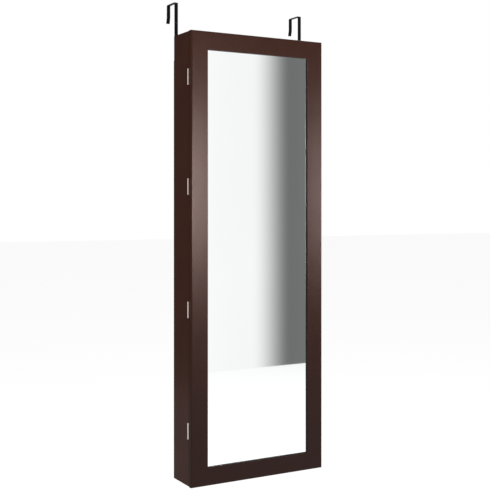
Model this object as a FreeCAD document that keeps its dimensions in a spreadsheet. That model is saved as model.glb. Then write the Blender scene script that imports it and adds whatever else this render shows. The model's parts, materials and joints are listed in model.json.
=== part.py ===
import FreeCAD, Part

import math
import os
import re
import Sketcher

# A shallow over-door jewelry cabinet with a mirror door.
# Frame of the model: the origin is the centre of the back face. +X is to the
# right of someone who faces the mirror, +Z is up, and the mirror looks to -Y.
# "Depth" is the distance in front of the back face, so a point at depth d has
# y = -d. All sizes are in millimetres.

doc = FreeCAD.newDocument("jewelry_cabinet")

# ---------------------------------------------------------------- driving sizes

SIZES = (
    # carcass
    ("body_wide", 369, "carcass, side to side"),
    ("body_tall", 1080, "carcass, bottom to top"),
    ("body_deep", 84, "side panels, back to front edge"),
    ("panel_thick", 12, "side, top and bottom panels"),
    ("edge_ease", 1, "rounding of the panels' visible edges"),
    ("back_thick", 3, "back panel"),
    ("back_rebate", 6, "how far the back panel reaches into each panel"),
    ("rebate_room", 0.2, "clearance of the back panel in its rebate"),
    ("lining_thick", 1.5, "velvet card on the back panel"),
    ("rail_tall", 60, "hanging rails"),
    ("rail_thick", 12, "hanging rails"),
    ("wall_hole_x", 120, "wall screw holes, from the middle"),
    ("wall_hole_r", 2.5, "wall screw holes"),
    ("dowel_r", 4, "corner dowels"),
    ("dowel_in_side", 8, "dowel end inside a side panel"),
    ("dowel_in_top", 20, "dowel end inside the top or bottom panel"),
    ("dowel_edge", 18, "dowels, from the front and back edges"),
    # shelves
    ("shelf_thick", 9, "shelves and bay divider"),
    ("shelf_setback", 4, "shelf fronts behind the carcass front"),
    ("housing", 3, "depth of the shelf housings in the sides"),
    ("ring_shelf_down", 200, "shelf under the ring and earring bays, below the carcass top"),
    ("necklace_shelf_up", 420, "shelf under the necklace bay, above the carcass bottom"),
    ("bracelet_shelf_up", 285, "shelf under the bracelet bay, above the carcass bottom"),
    ("cosmetics_shelf_up", 150, "shelf under the cosmetics bay, above the carcass bottom"),
    ("guard_tall", 30, "guard rails on the lower shelves"),
    ("guard_thick", 5, "guard rails on the lower shelves"),
    # necklace pegs
    ("peg_rail_tall", 30, "batten that carries the pegs"),
    ("peg_rail_thick", 9, "batten that carries the pegs"),
    ("peg_count", 10, "necklace pegs"),
    ("peg_margin", 24, "outer necklace pegs, from the side panels"),
    ("peg_long", 24, "necklace pegs, out of the batten"),
    ("peg_neck_r", 2.5, "necklace pegs, thin part"),
    ("peg_head_r", 5, "necklace pegs, knob"),
    ("peg_head_long", 6, "necklace pegs, knob"),
    ("peg_bevel", 1.8, "necklace pegs, slope at the knob's two ends"),
    # bracelet rod
    ("rod_r", 5, "bracelet rod"),
    ("rod_drop", 36, "bracelet rod, below the shelf over it"),
    ("rod_depth", 42, "bracelet rod, in front of the back face"),
    ("rod_room", 0.1, "radial clearance of the rod in its sockets"),
    ("socket_r", 11, "rod sockets"),
    ("socket_long", 9, "rod sockets"),
    ("socket_deep", 6, "bore of the rod sockets"),
    # ring tray
    ("tray_side", 4, "ring tray, from the panels beside it"),
    ("tray_top", 6, "ring tray's upper edge below the hanging rail"),
    ("tray_base", 2.5, "ring tray, base and rim"),
    ("tray_rim", 12, "ring tray, whole depth"),
    ("roll_count", 8, "velvet rolls in the tray"),
    ("roll_gap", 0.3, "between rolls, and from the rolls to the tray"),
    ("roll_drawn", 2.4, "how far a roll draws in at its ends"),
    # earring bars
    ("bar_tall", 28, "earring bars"),
    ("bar_thick", 4, "earring bars"),
    ("bar_back_depth", 18, "front face of the back earring bar"),
    ("bar_step_deep", 18, "each bar stands this much further forward"),
    ("bar_step_down", 40, "and this much lower"),
    ("bar_back_rise", 85, "back bar's lower edge above the shelf"),
    ("notch_wide", 1.6, "notches in the earring bars"),
    ("notch_deep", 9, "notches in the earring bars"),
    ("notch_margin", 12, "outer notches, from the ends of the earring bars"),
    ("notch_count", 19, "notches in the earring bars"),
    # door
    ("door_thick", 12, "door frame"),
    ("door_over_side", 0.5, "door past the carcass, each side"),
    ("door_over_end", 1, "door past the carcass, top and bottom"),
    ("seam", 2, "between the carcass and the door"),
    ("stile_wide", 44.5, "face of the door frame"),
    ("lip_thick", 4.5, "frame's lip in front of the glass"),
    ("lip_cover", 7, "how far the lip covers the glass"),
    ("door_round", 3.5, "rounding of the door's outer front edges"),
    ("lip_round", 1.2, "rounding of the lip's front edge"),
    ("glass_thick", 3, "mirror glass"),
    ("glass_room", 0.5, "clearance of the glass in its rebate"),
    ("backing_thick", 3, "board behind the glass"),
    ("clip_long", 18, "mirror clips, across the rebate edge"),
    ("clip_wide", 12, "mirror clips"),
    ("clip_thick", 1, "mirror clips"),
    ("clip_hold", 7, "how far a clip reaches over the lining"),
    ("clip_corner", 3, "bevelled corners of the mirror clips"),
    ("clip_end", 73.5, "outer pairs of clips, from the ends of the rebate"),
    ("clip_apart", 250, "inner pairs of clips, from the outer pairs"),
    ("clip_side", 70, "clips on the top and bottom rails, from the middle"),
    # hinges
    ("hinge_long", 38, "butt hinges"),
    ("hinge_1_down", 109, "top hinge's centre below the carcass top"),
    ("hinge_2_down", 369, "second hinge's centre below the carcass top"),
    ("hinge_3_up", 419, "third hinge's centre above the carcass bottom"),
    ("hinge_4_up", 132, "bottom hinge's centre above the carcass bottom"),
    ("hinge_out", 2.4, "pin axis outside the carcass side"),
    ("leaf_thick", 0.95, "hinge leaves"),
    ("leaf_room", 0.05, "half the gap between closed leaves"),
    ("knuckle_r", 2, "hinge knuckles"),
    ("knuckle_gap", 0.2, "between knuckles"),
    ("pin_r", 1, "hinge pins"),
    ("pin_room", 0.05, "radial clearance of the pins"),
    ("pin_head_r", 1.7, "hinge pin ends"),
    ("pin_head_long", 0.6, "hinge pin ends"),
    ("knuckle_clear", 0.3, "room between a leaf's plate and the other leaf's knuckle"),
    ("leaf_screw_apart", 12, "leaf screws, above and below the hinge's centre"),
    # small screws
    ("screw_r", 1.1, "shank of the small screws"),
    ("screw_head_r", 2.4, "head of the small screws"),
    ("screw_head_tall", 0.9, "head of the small screws"),
    ("screw_long", 9, "small screws"),
    ("screw_point", 0.5, "radius of a screw's point, as a share of its shank"),
    ("screw_room", 0.1, "clearance round a screw in a metal plate"),
    ("sink_deep", 0.7, "countersink of the hinge and strike screws"),
    ("recess_wide", 0.6, "cross recess in the screw heads"),
    ("recess_long", 2.6, "cross recess in the screw heads"),
    ("recess_deep", 0.5, "cross recess in the screw heads"),
    # over-door hooks
    ("strap_wide", 9, "hook strap"),
    ("strap_thick", 1.5, "hook strap"),
    ("strap_low", 60, "hook's leg below the carcass top"),
    ("strap_end_room", 5, "solid panel left under the end of a hook's leg"),
    ("hook_rise", 83.5, "top of the hook above the carcass top"),
    ("door_gap", 43, "room for the house door behind the cabinet"),
    ("hook_drop", 45, "rear leg of the hook, below its top"),
    ("hook_flare", 3.5, "tip of the rear leg, turned out"),
    ("flare_long", 14, "turned-out part of the rear leg"),
    ("bend_r", 2, "inside radius of the hook's bends"),
    ("knee_r", 6, "radius of the bend over the turned-out tip"),
    ("hook_screw_top", 15, "upper hook screw below the carcass top"),
    ("hook_screw_apart", 30, "between the two hook screws"),
    ("hook_screw_r", 1.8, "shank of the hook screws"),
    ("hook_sink_deep", 1.3, "countersink of the hook screws"),
    ("hook_screw_long", 24, "hook screws"),
    # magnetic catches
    ("catch_end", 70, "catches, from the carcass ends"),
    ("catch_tall", 36, "catch case"),
    ("catch_wide", 12, "catch case"),
    ("catch_deep", 17.5, "catch case"),
    ("catch_back", 0.5, "front of the case behind the carcass front"),
    ("magnet_tall", 26, "magnet"),
    ("magnet_wide", 6, "magnet"),
    ("magnet_deep", 10, "magnet"),
    ("magnet_out", 1, "magnet, out of its case"),
    ("magnet_room", 0.1, "clearance of the magnet in its case"),
    ("catch_screw_up", 15.5, "catch screws above and below the case's middle"),
    ("catch_screw_long", 20, "catch screws, through the case into the side"),
    ("strike_tall", 30, "strike plate of a catch"),
    ("strike_wide", 11, "strike plate of a catch"),
    ("strike_thick", 1, "strike plate of a catch"),
    # bumpers
    ("bumper_r", 4, "door bumpers"),
    ("bumper_thick", 1.9, "door bumpers"),
    ("bumper_end", 15, "door bumpers, from the ends"),
    # lock
    ("lock_back", 22, "lock axis behind the carcass front"),
    ("barrel_r", 7.9, "lock barrel"),
    ("barrel_room", 0.1, "radial clearance of the barrel"),
    ("flange_r", 9.5, "lock barrel's outer ring"),
    ("flange_thick", 2, "lock barrel's outer ring"),
    ("flange_bevel", 0.7, "lock barrel's outer ring, front edge"),
    ("barrel_inside", 5, "barrel past the inner face"),
    ("nut_r", 11, "lock nut, across corners / 2"),
    ("nut_thick", 3, "lock nut"),
    ("plug_r", 5, "lock plug"),
    ("plug_room", 0.05, "radial clearance of the plug"),
    ("key_tall", 7, "key slot"),
    ("key_wide", 1.8, "key slot"),
    ("key_deep", 6, "key slot"),
    ("drive_wide", 5, "square end of the plug"),
    ("cam_thick", 2, "cam"),
    ("cam_hub_r", 7, "cam, round the plug"),
    ("cam_arm_wide", 10, "cam, arm"),
    ("cam_long", 19, "cam, axis to tip"),
    ("cam_hook_wide", 4, "hook at the cam's tip"),
    ("cam_hook_high", 11, "hook at the cam's tip, from the cam's middle line"),
    ("cam_gap", 0.1, "cam to the barrel's end"),
    ("cam_screw_r", 4.2, "head of the cam screw"),
    ("cam_screw_tall", 1.6, "head of the cam screw"),
    ("hook_play", 1.5, "between the closed cam's hook and the lock strike"),
    ("lock_strike_wide", 12, "lock strike"),
    ("lock_strike_thick", 1.5, "lock strike"),
    ("lock_strike_side", 3.5, "lock strike to the right panel"),
    ("lock_strike_low", 6.5, "catching edge above the lock axis"),
    ("lock_strike_leg", 22.5, "lock strike's leg above the lock axis"),
    ("lock_strike_foot", 20, "lock strike's foot"),
    ("lock_strike_screw", 12, "screw above the lower end of the strike's foot"),
)

sizes = doc.addObject("Spreadsheet::Sheet", "sizes")
NAMES = set()
for line, (alias, value, meaning) in enumerate(SIZES, start=1):
    sizes.set(f"A{line}", meaning)
    sizes.set(f"B{line}", str(value))
    sizes.setAlias(f"B{line}", alias)
    NAMES.add(alias)
doc.recompute()

# ------------------------------------------------- places worked out from sizes
# Each is a formula over the sheet's names, in brackets so that it can be used
# inside another formula.

HALF_WIDE = "(body_wide / 2)"
HALF_TALL = "(body_tall / 2)"
IN_X = f"({HALF_WIDE} - panel_thick)"
IN_Z = f"({HALF_TALL} - panel_thick)"
DOOR_X = f"({HALF_WIDE} + door_over_side)"
DOOR_Z = f"({HALF_TALL} + door_over_end)"
DOOR_BACK = "(body_deep + seam)"
DOOR_FRONT = f"({DOOR_BACK} + door_thick)"
LINING_FRONT = "(back_thick + lining_thick)"
SHELF_FRONT = "(body_deep - shelf_setback)"
HALF_DIVIDER = "(shelf_thick / 2)"
OPENING_X = f"({DOOR_X} - stile_wide)"
OPENING_Z = f"({DOOR_Z} - stile_wide)"
REBATE_X = f"({OPENING_X} + lip_cover)"
REBATE_Z = f"({OPENING_Z} + lip_cover)"
GLASS_BACK = f"({DOOR_FRONT} - lip_thick - glass_thick)"
PIN_X = f"(-{HALF_WIDE} - hinge_out)"
PIN_DEPTH = "(body_deep + seam / 2)"
KNUCKLE = "((hinge_long - 4 * knuckle_gap) / 5)"
STRAP_X = f"({HALF_WIDE} - panel_thick / 2)"
HOOK_TOP = f"({HALF_TALL} + hook_rise)"
REBATE_TOP = f"({HALF_TALL} - strap_low - strap_end_room)"
RING_SHELF = f"({HALF_TALL} - ring_shelf_down)"
NECKLACE_SHELF = f"(necklace_shelf_up - {HALF_TALL})"
BRACELET_SHELF = f"(bracelet_shelf_up - {HALF_TALL})"
COSMETICS_SHELF = f"(cosmetics_shelf_up - {HALF_TALL})"
ROD_Z = f"({NECKLACE_SHELF} - shelf_thick - rod_drop)"
LOCK_DEPTH = "(body_deep - lock_back)"
BARREL_END = f"({IN_X} - barrel_inside)"
TRAY_WIDE = f"({IN_X} - {HALF_DIVIDER} - 2 * tray_side)"
TRAY_TALL = f"({IN_Z} - rail_tall - {RING_SHELF} - tray_top)"
STRIKE_X = f"({IN_X} - lock_strike_side - lock_strike_wide / 2)"
STRIKE_Z = "(lock_strike_leg + lock_strike_screw)"
CLIP_SCREW = "((clip_long - clip_hold) / 2)"
LEAF_SCREW = "(hinge_out + panel_thick / 2)"
CATCH_X = f"({IN_X} - catch_wide / 2)"
CATCH_FRONT = "(body_deep - catch_back)"
CAM_FACE = f"({BARREL_END} - cam_gap)"
LOCK_SPOT = (f"-{LOCK_DEPTH}", "0")
SCREW_HOLE = "(screw_r + screw_room)"
HOOK_HOLE = "(hook_screw_r + screw_room)"
CATCH_Z = f"({HALF_TALL} - catch_end)"
HINGES = (f"({HALF_TALL} - hinge_1_down)", f"({HALF_TALL} - hinge_2_down)",
          f"(hinge_3_up - {HALF_TALL})", f"(hinge_4_up - {HALF_TALL})")
SHELVES = (RING_SHELF, NECKLACE_SHELF, BRACELET_SHELF, COSMETICS_SHELF)

# Small round pieces and holes have flats, like turned pieces seen from afar.
MANY_FLATS = 24
FLATS = 12
FEW_FLATS = 8
NUT_FLATS = 6
CLOSE = 0.01


def formula(text):
    """A formula in the sheet's names, as an expression of this document."""
    return re.sub(r"[a-z][a-z0-9_]*", lambda m: named(m.group(0)), str(text))


def named(word):
    """A size's full name. Every other word in a formula is a mistake."""
    if word not in NAMES:
        raise ValueError("no size is called " + word)
    return "sizes." + word


def bind(thing, prop, text):
    """Ties one property to a formula."""
    thing.setExpression(prop, formula(text))


def new_body(label):
    """An empty body that will be one sub-part."""
    made = doc.addObject("PartDesign::Body", label)
    made.Label = label
    return made


def origin_plane(body, role):
    """One of the body's own origin planes."""
    return next(face for face in body.Origin.OriginFeatures if face.Role == role)


def new_sketch(body, role, start):
    """A sketch parallel to an origin plane, a distance along its normal."""
    sketch = body.newObject("Sketcher::SketchObject", body.Label + "_sketch")
    sketch.AttachmentSupport = [(origin_plane(body, role), "")]
    sketch.MapMode = "FlatFace"
    bind(sketch, "AttachmentOffset.Base.z", start)
    return sketch


def fix_point(sketch, geometry, point, across, up):
    """Holds one point of the sketch at two formulas."""
    for kind, text in (("DistanceX", across), ("DistanceY", up)):
        number = sketch.addConstraint(Sketcher.Constraint(kind, -1, 1, geometry, point, 1.0))
        bind(sketch, f"Constraints[{number}]", text)


def draw_loop(sketch, corners):
    """A closed loop of straight lines through the corners."""
    first = sketch.GeometryCount
    count = len(corners)
    for step in range(count):
        start = FreeCAD.Vector(step, step * step, 0)
        end = FreeCAD.Vector(step + 1, (step + 1) ** 2, 0)
        sketch.addGeometry(Part.LineSegment(start, end), False)
    for step in range(count):
        following = first + (step + 1) % count
        sketch.addConstraint(Sketcher.Constraint("Coincident", first + step, 2, following, 1))
    for step, (across, up) in enumerate(corners):
        fix_point(sketch, first + step, 1, across, up)


def draw_circle(sketch, across, up, radius):
    """A circle at two formulas, with a formula for its radius."""
    number = sketch.addGeometry(Part.Circle(FreeCAD.Vector(), FreeCAD.Vector(0, 0, 1), 1), False)
    fix_point(sketch, number, 3, across, up)
    constraint = sketch.addConstraint(Sketcher.Constraint("Radius", number, 1.0))
    bind(sketch, f"Constraints[{constraint}]", radius)


def draw(sketch, shapes):
    """Draws loops, given as lists of corners, and circles, as (x, y, radius)."""
    for shape in shapes:
        if isinstance(shape, tuple):
            draw_circle(sketch, *shape)
        else:
            draw_loop(sketch, shape)


def box_loop(x0, x1, z0, z1):
    """The corners of a rectangle."""
    return [(x0, z0), (x1, z0), (x1, z1), (x0, z1)]


def flats_round(across, up, radius, count=FLATS):
    """The corners of an even polygon whose corners lie on a circle."""
    corners = []
    for step in range(count):
        turn = 2 * math.pi * (step + 0.5) / count
        corners.append((f"{across} + ({radius}) * {math.cos(turn):.6f}",
                        f"{up} + ({radius}) * {math.sin(turn):.6f}"))
    return corners


def flat_hole(across, up, radius, count=FLATS):
    """The corners of an even polygon whose flats touch a circle from outside."""
    outside = f"({radius}) * {1 / math.cos(math.pi / count):.6f}"
    return flats_round(across, up, outside, count)


def pad(body, role, start, length, *shapes):
    """Solid from start to start + length along the plane's normal."""
    sketch = new_sketch(body, role, start)
    draw(sketch, shapes)
    made = body.newObject("PartDesign::Pad", body.Label + "_pad")
    made.Profile = sketch
    bind(made, "Length", length)
    return made


def cut(body, role, start, length, *shapes):
    """Takes away from start to start + length along the plane's normal."""
    doc.recompute()
    before = body.Shape.Volume
    sketch = new_sketch(body, role, start)
    draw(sketch, shapes)
    made = body.newObject("PartDesign::Pocket", body.Label + "_cut")
    made.Profile = sketch
    made.Reversed = True
    bind(made, "Length", length)
    doc.recompute()
    if body.Shape.Volume > before - CLOSE:
        raise ValueError("this pocket takes nothing away from " + body.Label)
    return made


def row_of(body, feature, sketch_axis, count, pitch):
    """Repeats a feature along an axis of its own sketch."""
    made = body.newObject("PartDesign::LinearPattern", body.Label + "_row")
    made.Originals = [feature]
    made.Direction = (feature.Profile[0], [sketch_axis])
    made.Mode = "Spacing"
    bind(made, "Occurrences", count)
    bind(made, "Offset", pitch)
    body.Tip = made
    return made


def ease(body, radius, chosen, kind="PartDesign::Fillet", prop="Radius"):
    """Rounds the edges that the test chooses."""
    doc.recompute()
    base = body.Tip
    edges = base.Shape.Edges
    picked = [f"Edge{i}" for i, edge in enumerate(edges, start=1) if chosen(edge.BoundBox)]
    if not picked:
        raise ValueError("no edge to round on " + body.Label)
    made = body.newObject(kind, body.Label + "_edge")
    made.Base = (base, picked)
    bind(made, prop, radius)
    return made


def bevel(body, size, chosen):
    """Bevels the edges that the test chooses."""
    return ease(body, size, chosen, "PartDesign::Chamfer", "Size")


def countersink(body, size, depth, radius, spots):
    """Bevels the mouths of flat-sided screw holes, in a plane at a depth."""
    plane = -measure(depth)
    reach = measure(radius) + CLOSE
    centres = [(measure(x), measure(z)) for x, z in spots]

    def chosen(box):
        middle = box.Center
        if box.YLength > CLOSE or abs(middle.y - plane) > CLOSE:
            return False
        return any(math.hypot(middle.x - x, middle.z - z) < reach for x, z in centres)

    return bevel(body, size, chosen)


def measure(text):
    """The number that a formula has now."""
    return sizes.evalExpression(formula(text).replace("sizes.", ""))


def panel(label, x0, x1, depth0, depth1, z0, z1):
    """A plain rectangular board."""
    body = new_body(label)
    pad(body, "XZ_Plane", depth0, f"{depth1} - {depth0}", box_loop(x0, x1, z0, z1))
    return body


def turned(label, *outline):
    """A turned piece with flats. Its outline is (radius, distance along +Y) pairs."""
    rings = []
    for radius, along in outline:
        ring = doc.addObject("Part::RegularPolygon", label + "_ring")
        ring.Polygon = FLATS
        ring.Placement = FreeCAD.Placement(FreeCAD.Vector(), ALONG_Y)
        bind(ring, "Circumradius", radius)
        bind(ring, "Placement.Base.y", along)
        rings.append(ring)
    made = doc.addObject("Part::Loft", label)
    made.Sections = rings
    made.Solid = True
    made.Ruled = True
    return made



def copies(label, one, places):
    """One node made of several equal pieces at (x, depth, z, turn) places."""
    links = []
    for x, depth, z, turn in places:
        link = doc.addObject("App::Link", label + "_copy")
        link.LinkedObject = one
        link.Placement = FreeCAD.Placement(FreeCAD.Vector(), turn)
        bind(link, "Placement.Base.x", x)
        bind(link, "Placement.Base.y", f"-({depth})")
        bind(link, "Placement.Base.z", z)
        links.append(link)
    group = doc.addObject("Part::Compound", label)
    group.Label = label
    group.Links = links
    return group


AS_MADE = FreeCAD.Rotation()
ALONG_Y = FreeCAD.Rotation(FreeCAD.Vector(1, 0, 0), -90)
HALF_TURN = FreeCAD.Rotation(FreeCAD.Vector(0, 0, 1), 180)
TO_RIGHT = FreeCAD.Rotation(FreeCAD.Vector(0, 0, 1), 90)

parts = []


# ----------------------------------------------------------------------- carcass

def side_panel(side, sign):
    """A side panel: back rebate, shelf housings, dowel holes, hook rebate."""
    body = new_body("side_panel_" + side)
    inner = f"{sign} * {IN_X}"
    outer = f"{sign} * {HALF_WIDE}"
    pad(body, "XZ_Plane", "0", "body_deep", box_loop(inner, outer, f"-{HALF_TALL}", HALF_TALL))
    if sign > 0:
        start = IN_X
    else:
        start = f"-{IN_X}"

    def inward(amount):
        """Start of a pocket that is cut into the inner face."""
        return start if sign > 0 else f"{start} - {amount}"

    cut(body, "YZ_Plane", inward("(back_rebate + rebate_room)"), "back_rebate + rebate_room",
        box_loop("-back_thick", "0", f"-({IN_Z} + back_rebate + rebate_room)", REBATE_TOP))
    housings = []
    for top in SHELVES:
        housings.append(box_loop(f"-{SHELF_FRONT}", f"-{LINING_FRONT}", f"{top} - shelf_thick", top))
    cut(body, "YZ_Plane", inward("housing"), "housing", *housings)
    holes = []
    for z in (f"({HALF_TALL} - panel_thick / 2)", f"(panel_thick / 2 - {HALF_TALL})"):
        for y in ("-dowel_edge", "dowel_edge - body_deep"):
            holes.append(flats_round(y, z, "dowel_r", FEW_FLATS))
    cut(body, "YZ_Plane", inward("dowel_in_side"), "dowel_in_side", *holes)
    cut(body, "XZ_Plane", "0", "strap_thick",
        box_loop(inner, outer, f"{HALF_TALL} - strap_low", HALF_TALL))
    return body


def end_panel(label, sign):
    """The top or bottom panel: back rebate on its inner side, dowel holes in its ends."""
    body = new_body(label)
    inner = f"{sign} * {IN_Z}"
    outer = f"{sign} * {HALF_TALL}"
    reach = f"{sign} * ({IN_Z} + back_rebate + rebate_room)"
    profile = [("-back_thick", inner), ("-body_deep", inner), ("-body_deep", outer),
               ("0", outer), ("0", reach), ("-back_thick", reach)]
    pad(body, "YZ_Plane", f"-{IN_X}", f"2 * {IN_X}", profile)
    middle = f"{sign} * ({HALF_TALL} - panel_thick / 2)"
    holes = [flats_round(y, middle, "dowel_r", FEW_FLATS)
             for y in ("-dowel_edge", "dowel_edge - body_deep")]
    cut(body, "YZ_Plane", f"-{IN_X}", "dowel_in_top", *holes)
    cut(body, "YZ_Plane", f"{IN_X} - dowel_in_top", "dowel_in_top", *holes)
    return body


def carcass_dowels():
    """Beech dowels across the four corners, two to a corner."""
    one = new_body("dowel")
    long = "(dowel_in_side + dowel_in_top)"
    pad(one, "YZ_Plane", "0", long, flats_round("0", "0", "dowel_r", FEW_FLATS))
    places = []
    for x in (f"-{IN_X} - dowel_in_side", f"{IN_X} - dowel_in_top"):
        for depth in ("dowel_edge", "body_deep - dowel_edge"):
            for z in (f"{HALF_TALL} - panel_thick / 2", f"panel_thick / 2 - {HALF_TALL}"):
                places.append((x, depth, z, AS_MADE))
    return copies("carcass_dowels", one, places)


def wall_holes(sign):
    """Two wall screw holes, at the middle height of one hanging rail."""
    z = f"{sign} * ({IN_Z} - rail_tall / 2)"
    return [(x, z, "wall_hole_r") for x in ("wall_hole_x", "-wall_hole_x")]


def back_panel():
    """The thin back panel in its rebate, narrower between the hook straps."""
    reach_x = f"({IN_X} + back_rebate)"
    reach_z = f"({IN_Z} + back_rebate)"
    narrow = f"({IN_X} - rebate_room)"
    shoulder = f"({REBATE_TOP} - rebate_room)"
    body = new_body("back_panel")
    pad(body, "XZ_Plane", "0", "back_thick",
        [(f"-{reach_x}", f"-{reach_z}"), (reach_x, f"-{reach_z}"), (reach_x, shoulder),
         (narrow, shoulder), (narrow, reach_z), (f"-{narrow}", reach_z),
         (f"-{narrow}", shoulder), (f"-{reach_x}", shoulder)])
    for sign in (1, -1):
        cut(body, "XZ_Plane", "0", "back_thick", *wall_holes(sign))
    return body


def hanging_rail(label, sign):
    """A stout rail behind the wall screws."""
    z0 = f"{sign} * ({IN_Z} - rail_tall)"
    z1 = f"{sign} * {IN_Z}"
    front = "(back_thick + rail_thick)"
    body = panel(label, f"-{IN_X}", IN_X, "back_thick", front, z0, z1)
    cut(body, "XZ_Plane", "back_thick", "rail_thick", *wall_holes(sign))
    return body


def shelf(label, top):
    """A shelf whose ends sit in the housings of the side panels."""
    reach = f"({IN_X} + housing)"
    return panel(label, f"-{reach}", reach, LINING_FRONT, SHELF_FRONT, f"{top} - shelf_thick", top)


def guard_rail(label, floor):
    """A low rail along the front of a shelf."""
    back = f"({SHELF_FRONT} - guard_thick)"
    body = panel(label, f"-{IN_X}", IN_X, back, SHELF_FRONT, floor, f"{floor} + guard_tall")
    top = measure(f"{floor} + guard_tall")
    ease(body, "edge_ease", lambda box: box.ZMin > top - CLOSE and box.XLength > 1)
    return body


def bay_divider():
    """Upright between the ring and earring bays, stepped round the hanging rail."""
    body = new_body("bay_divider")
    rail_low = f"({IN_Z} - rail_tall)"
    rail_front = "(back_thick + rail_thick)"
    profile = [(f"-{LINING_FRONT}", RING_SHELF), (f"-{SHELF_FRONT}", RING_SHELF),
               (f"-{SHELF_FRONT}", IN_Z), (f"-{rail_front}", IN_Z),
               (f"-{rail_front}", rail_low), (f"-{LINING_FRONT}", rail_low)]
    pad(body, "YZ_Plane", f"-{HALF_DIVIDER}", "shelf_thick", profile)
    return body


def build_carcass():
    parts.append(side_panel("left", -1))
    parts.append(side_panel("right", 1))
    parts.append(end_panel("top_panel", 1))
    parts.append(end_panel("bottom_panel", -1))
    parts.append(carcass_dowels())
    parts.append(back_panel())
    lining_top = f"({IN_Z} - rail_tall)"
    parts.append(panel("back_lining", f"-{IN_X}", IN_X, "back_thick", LINING_FRONT,
                       f"-{lining_top}", lining_top))
    parts.append(hanging_rail("hanging_rail_top", 1))
    parts.append(hanging_rail("hanging_rail_bottom", -1))
    for label, top in zip(("ring_shelf", "hook_shelf", "bracelet_shelf", "cosmetics_shelf"), SHELVES):
        parts.append(shelf(label, top))
    parts.append(bay_divider())
    parts.append(guard_rail("guard_rail_upper", BRACELET_SHELF))
    parts.append(guard_rail("guard_rail_middle", COSMETICS_SHELF))
    parts.append(guard_rail("guard_rail_lower", f"(-{IN_Z})"))


# ---------------------------------------------------------------- jewelry holders

def necklace_rail():
    """Batten under the ring shelf that carries the pegs."""
    top = f"({RING_SHELF} - shelf_thick)"
    return panel("necklace_rail", f"-{IN_X}", IN_X, LINING_FRONT,
                 f"({LINING_FRONT} + peg_rail_thick)", f"{top} - peg_rail_tall", top)


def necklace_pegs():
    """A row of small turned knobs that necklaces hang from."""
    one = new_body("peg")
    neck = "(peg_long - peg_head_long)"
    pad(one, "XZ_Plane", neck, "peg_head_long", flats_round("0", "0", "peg_head_r"))
    bevel(one, "peg_bevel", lambda box: box.YLength < CLOSE)
    pad(one, "XZ_Plane", "0", neck, flats_round("0", "0", "peg_neck_r", FEW_FLATS))
    first = f"({IN_X} - peg_margin)"
    depth = f"{LINING_FRONT} + peg_rail_thick"
    z = f"{RING_SHELF} - shelf_thick - peg_rail_tall / 2"
    places = []
    for number in range(int(measure("peg_count"))):
        share = f"(2 * {number} / (peg_count - 1) - 1)"
        places.append((f"{first} * {share}", depth, z, AS_MADE))
    return copies("necklace_pegs", one, places)


def bracelet_rod():
    """Rod between two sockets on the side panels."""
    end = f"({IN_X} - socket_long + socket_deep)"
    body = new_body("bracelet_rod")
    pad(body, "YZ_Plane", f"-{end}", f"2 * {end}", ("-rod_depth", ROD_Z, "rod_r"))
    return body


def rod_socket(side, sign):
    """Turned cup that holds one end of the rod."""
    body = new_body("rod_socket_" + side)
    spot = ("-rod_depth", ROD_Z)
    start = f"{IN_X} - socket_long" if sign > 0 else f"-{IN_X}"
    pad(body, "YZ_Plane", start, "socket_long", flats_round(*spot, "socket_r", MANY_FLATS))
    mouth = measure(f"{IN_X} - socket_long")
    bevel(body, "edge_ease", lambda box: abs(abs(box.Center.x) - mouth) < CLOSE)
    bore = f"{IN_X} - socket_long" if sign > 0 else f"-{IN_X} + socket_long - socket_deep"
    cut(body, "YZ_Plane", bore, "socket_deep", (*spot, "rod_r + rod_room"))
    return body


def tray_places():
    """Middle of the tray, its lower edge and its front, as formulas."""
    middle = f"(-({IN_X} + {HALF_DIVIDER}) / 2)"
    return middle, RING_SHELF, f"({LINING_FRONT} + tray_rim)"


def ring_tray():
    """Shallow tray on the back lining."""
    middle, low, front = tray_places()
    x0, x1 = f"{middle} - {TRAY_WIDE} / 2", f"{middle} + {TRAY_WIDE} / 2"
    body = panel("ring_tray", x0, x1, LINING_FRONT, front, low, f"{low} + {TRAY_TALL}")
    cut(body, "XZ_Plane", f"{LINING_FRONT} + tray_base", "tray_rim - tray_base",
        box_loop(f"{x0} + tray_base", f"{x1} - tray_base",
                 f"{low} + tray_base", f"{low} + {TRAY_TALL} - tray_base"))
    return body


def ring_rolls():
    """Soft rolls, one above the other; rings are pushed in between two of them."""
    middle, low, front = tray_places()
    pitch = f"(({TRAY_TALL} - 2 * tray_base - roll_gap) / roll_count)"
    radius = f"(({pitch} - roll_gap) / 2)"
    long = f"({TRAY_WIDE} - 2 * tray_base - 2 * roll_gap)"
    one = new_body("roll")
    pad(one, "YZ_Plane", f"-{long} / 2", long, flats_round("0", "0", radius))
    bevel(one, "roll_drawn", lambda box: box.XLength < CLOSE)
    depth = f"{LINING_FRONT} + tray_base + roll_gap + {radius}"
    places = []
    for number in range(int(measure("roll_count"))):
        z = f"{low} + tray_base + roll_gap / 2 + ({number} + 0.5) * {pitch}"
        places.append((middle, depth, z, AS_MADE))
    return copies("ring_rolls", one, places)


def earring_bar(name, step):
    """Upright strip with open notches for earring hooks and posts."""
    front = f"(bar_back_depth + {step} * bar_step_deep)"
    low = f"({RING_SHELF} + bar_back_rise - {step} * bar_step_down)"
    body = panel("earring_bar_" + name, HALF_DIVIDER, IN_X, f"({front} - bar_thick)", front,
                 low, f"{low} + bar_tall")
    first = f"({HALF_DIVIDER} + notch_margin)"
    pitch = f"(({IN_X} - {HALF_DIVIDER} - 2 * notch_margin) / (notch_count - 1))"
    notch = cut(body, "XZ_Plane", f"{front} - bar_thick", "bar_thick",
                box_loop(f"{first} - notch_wide / 2", f"{first} + notch_wide / 2",
                         f"{low} + bar_tall - notch_deep", f"{low} + bar_tall"))
    row_of(body, notch, "H_Axis", "notch_count", pitch)
    return body


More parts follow.
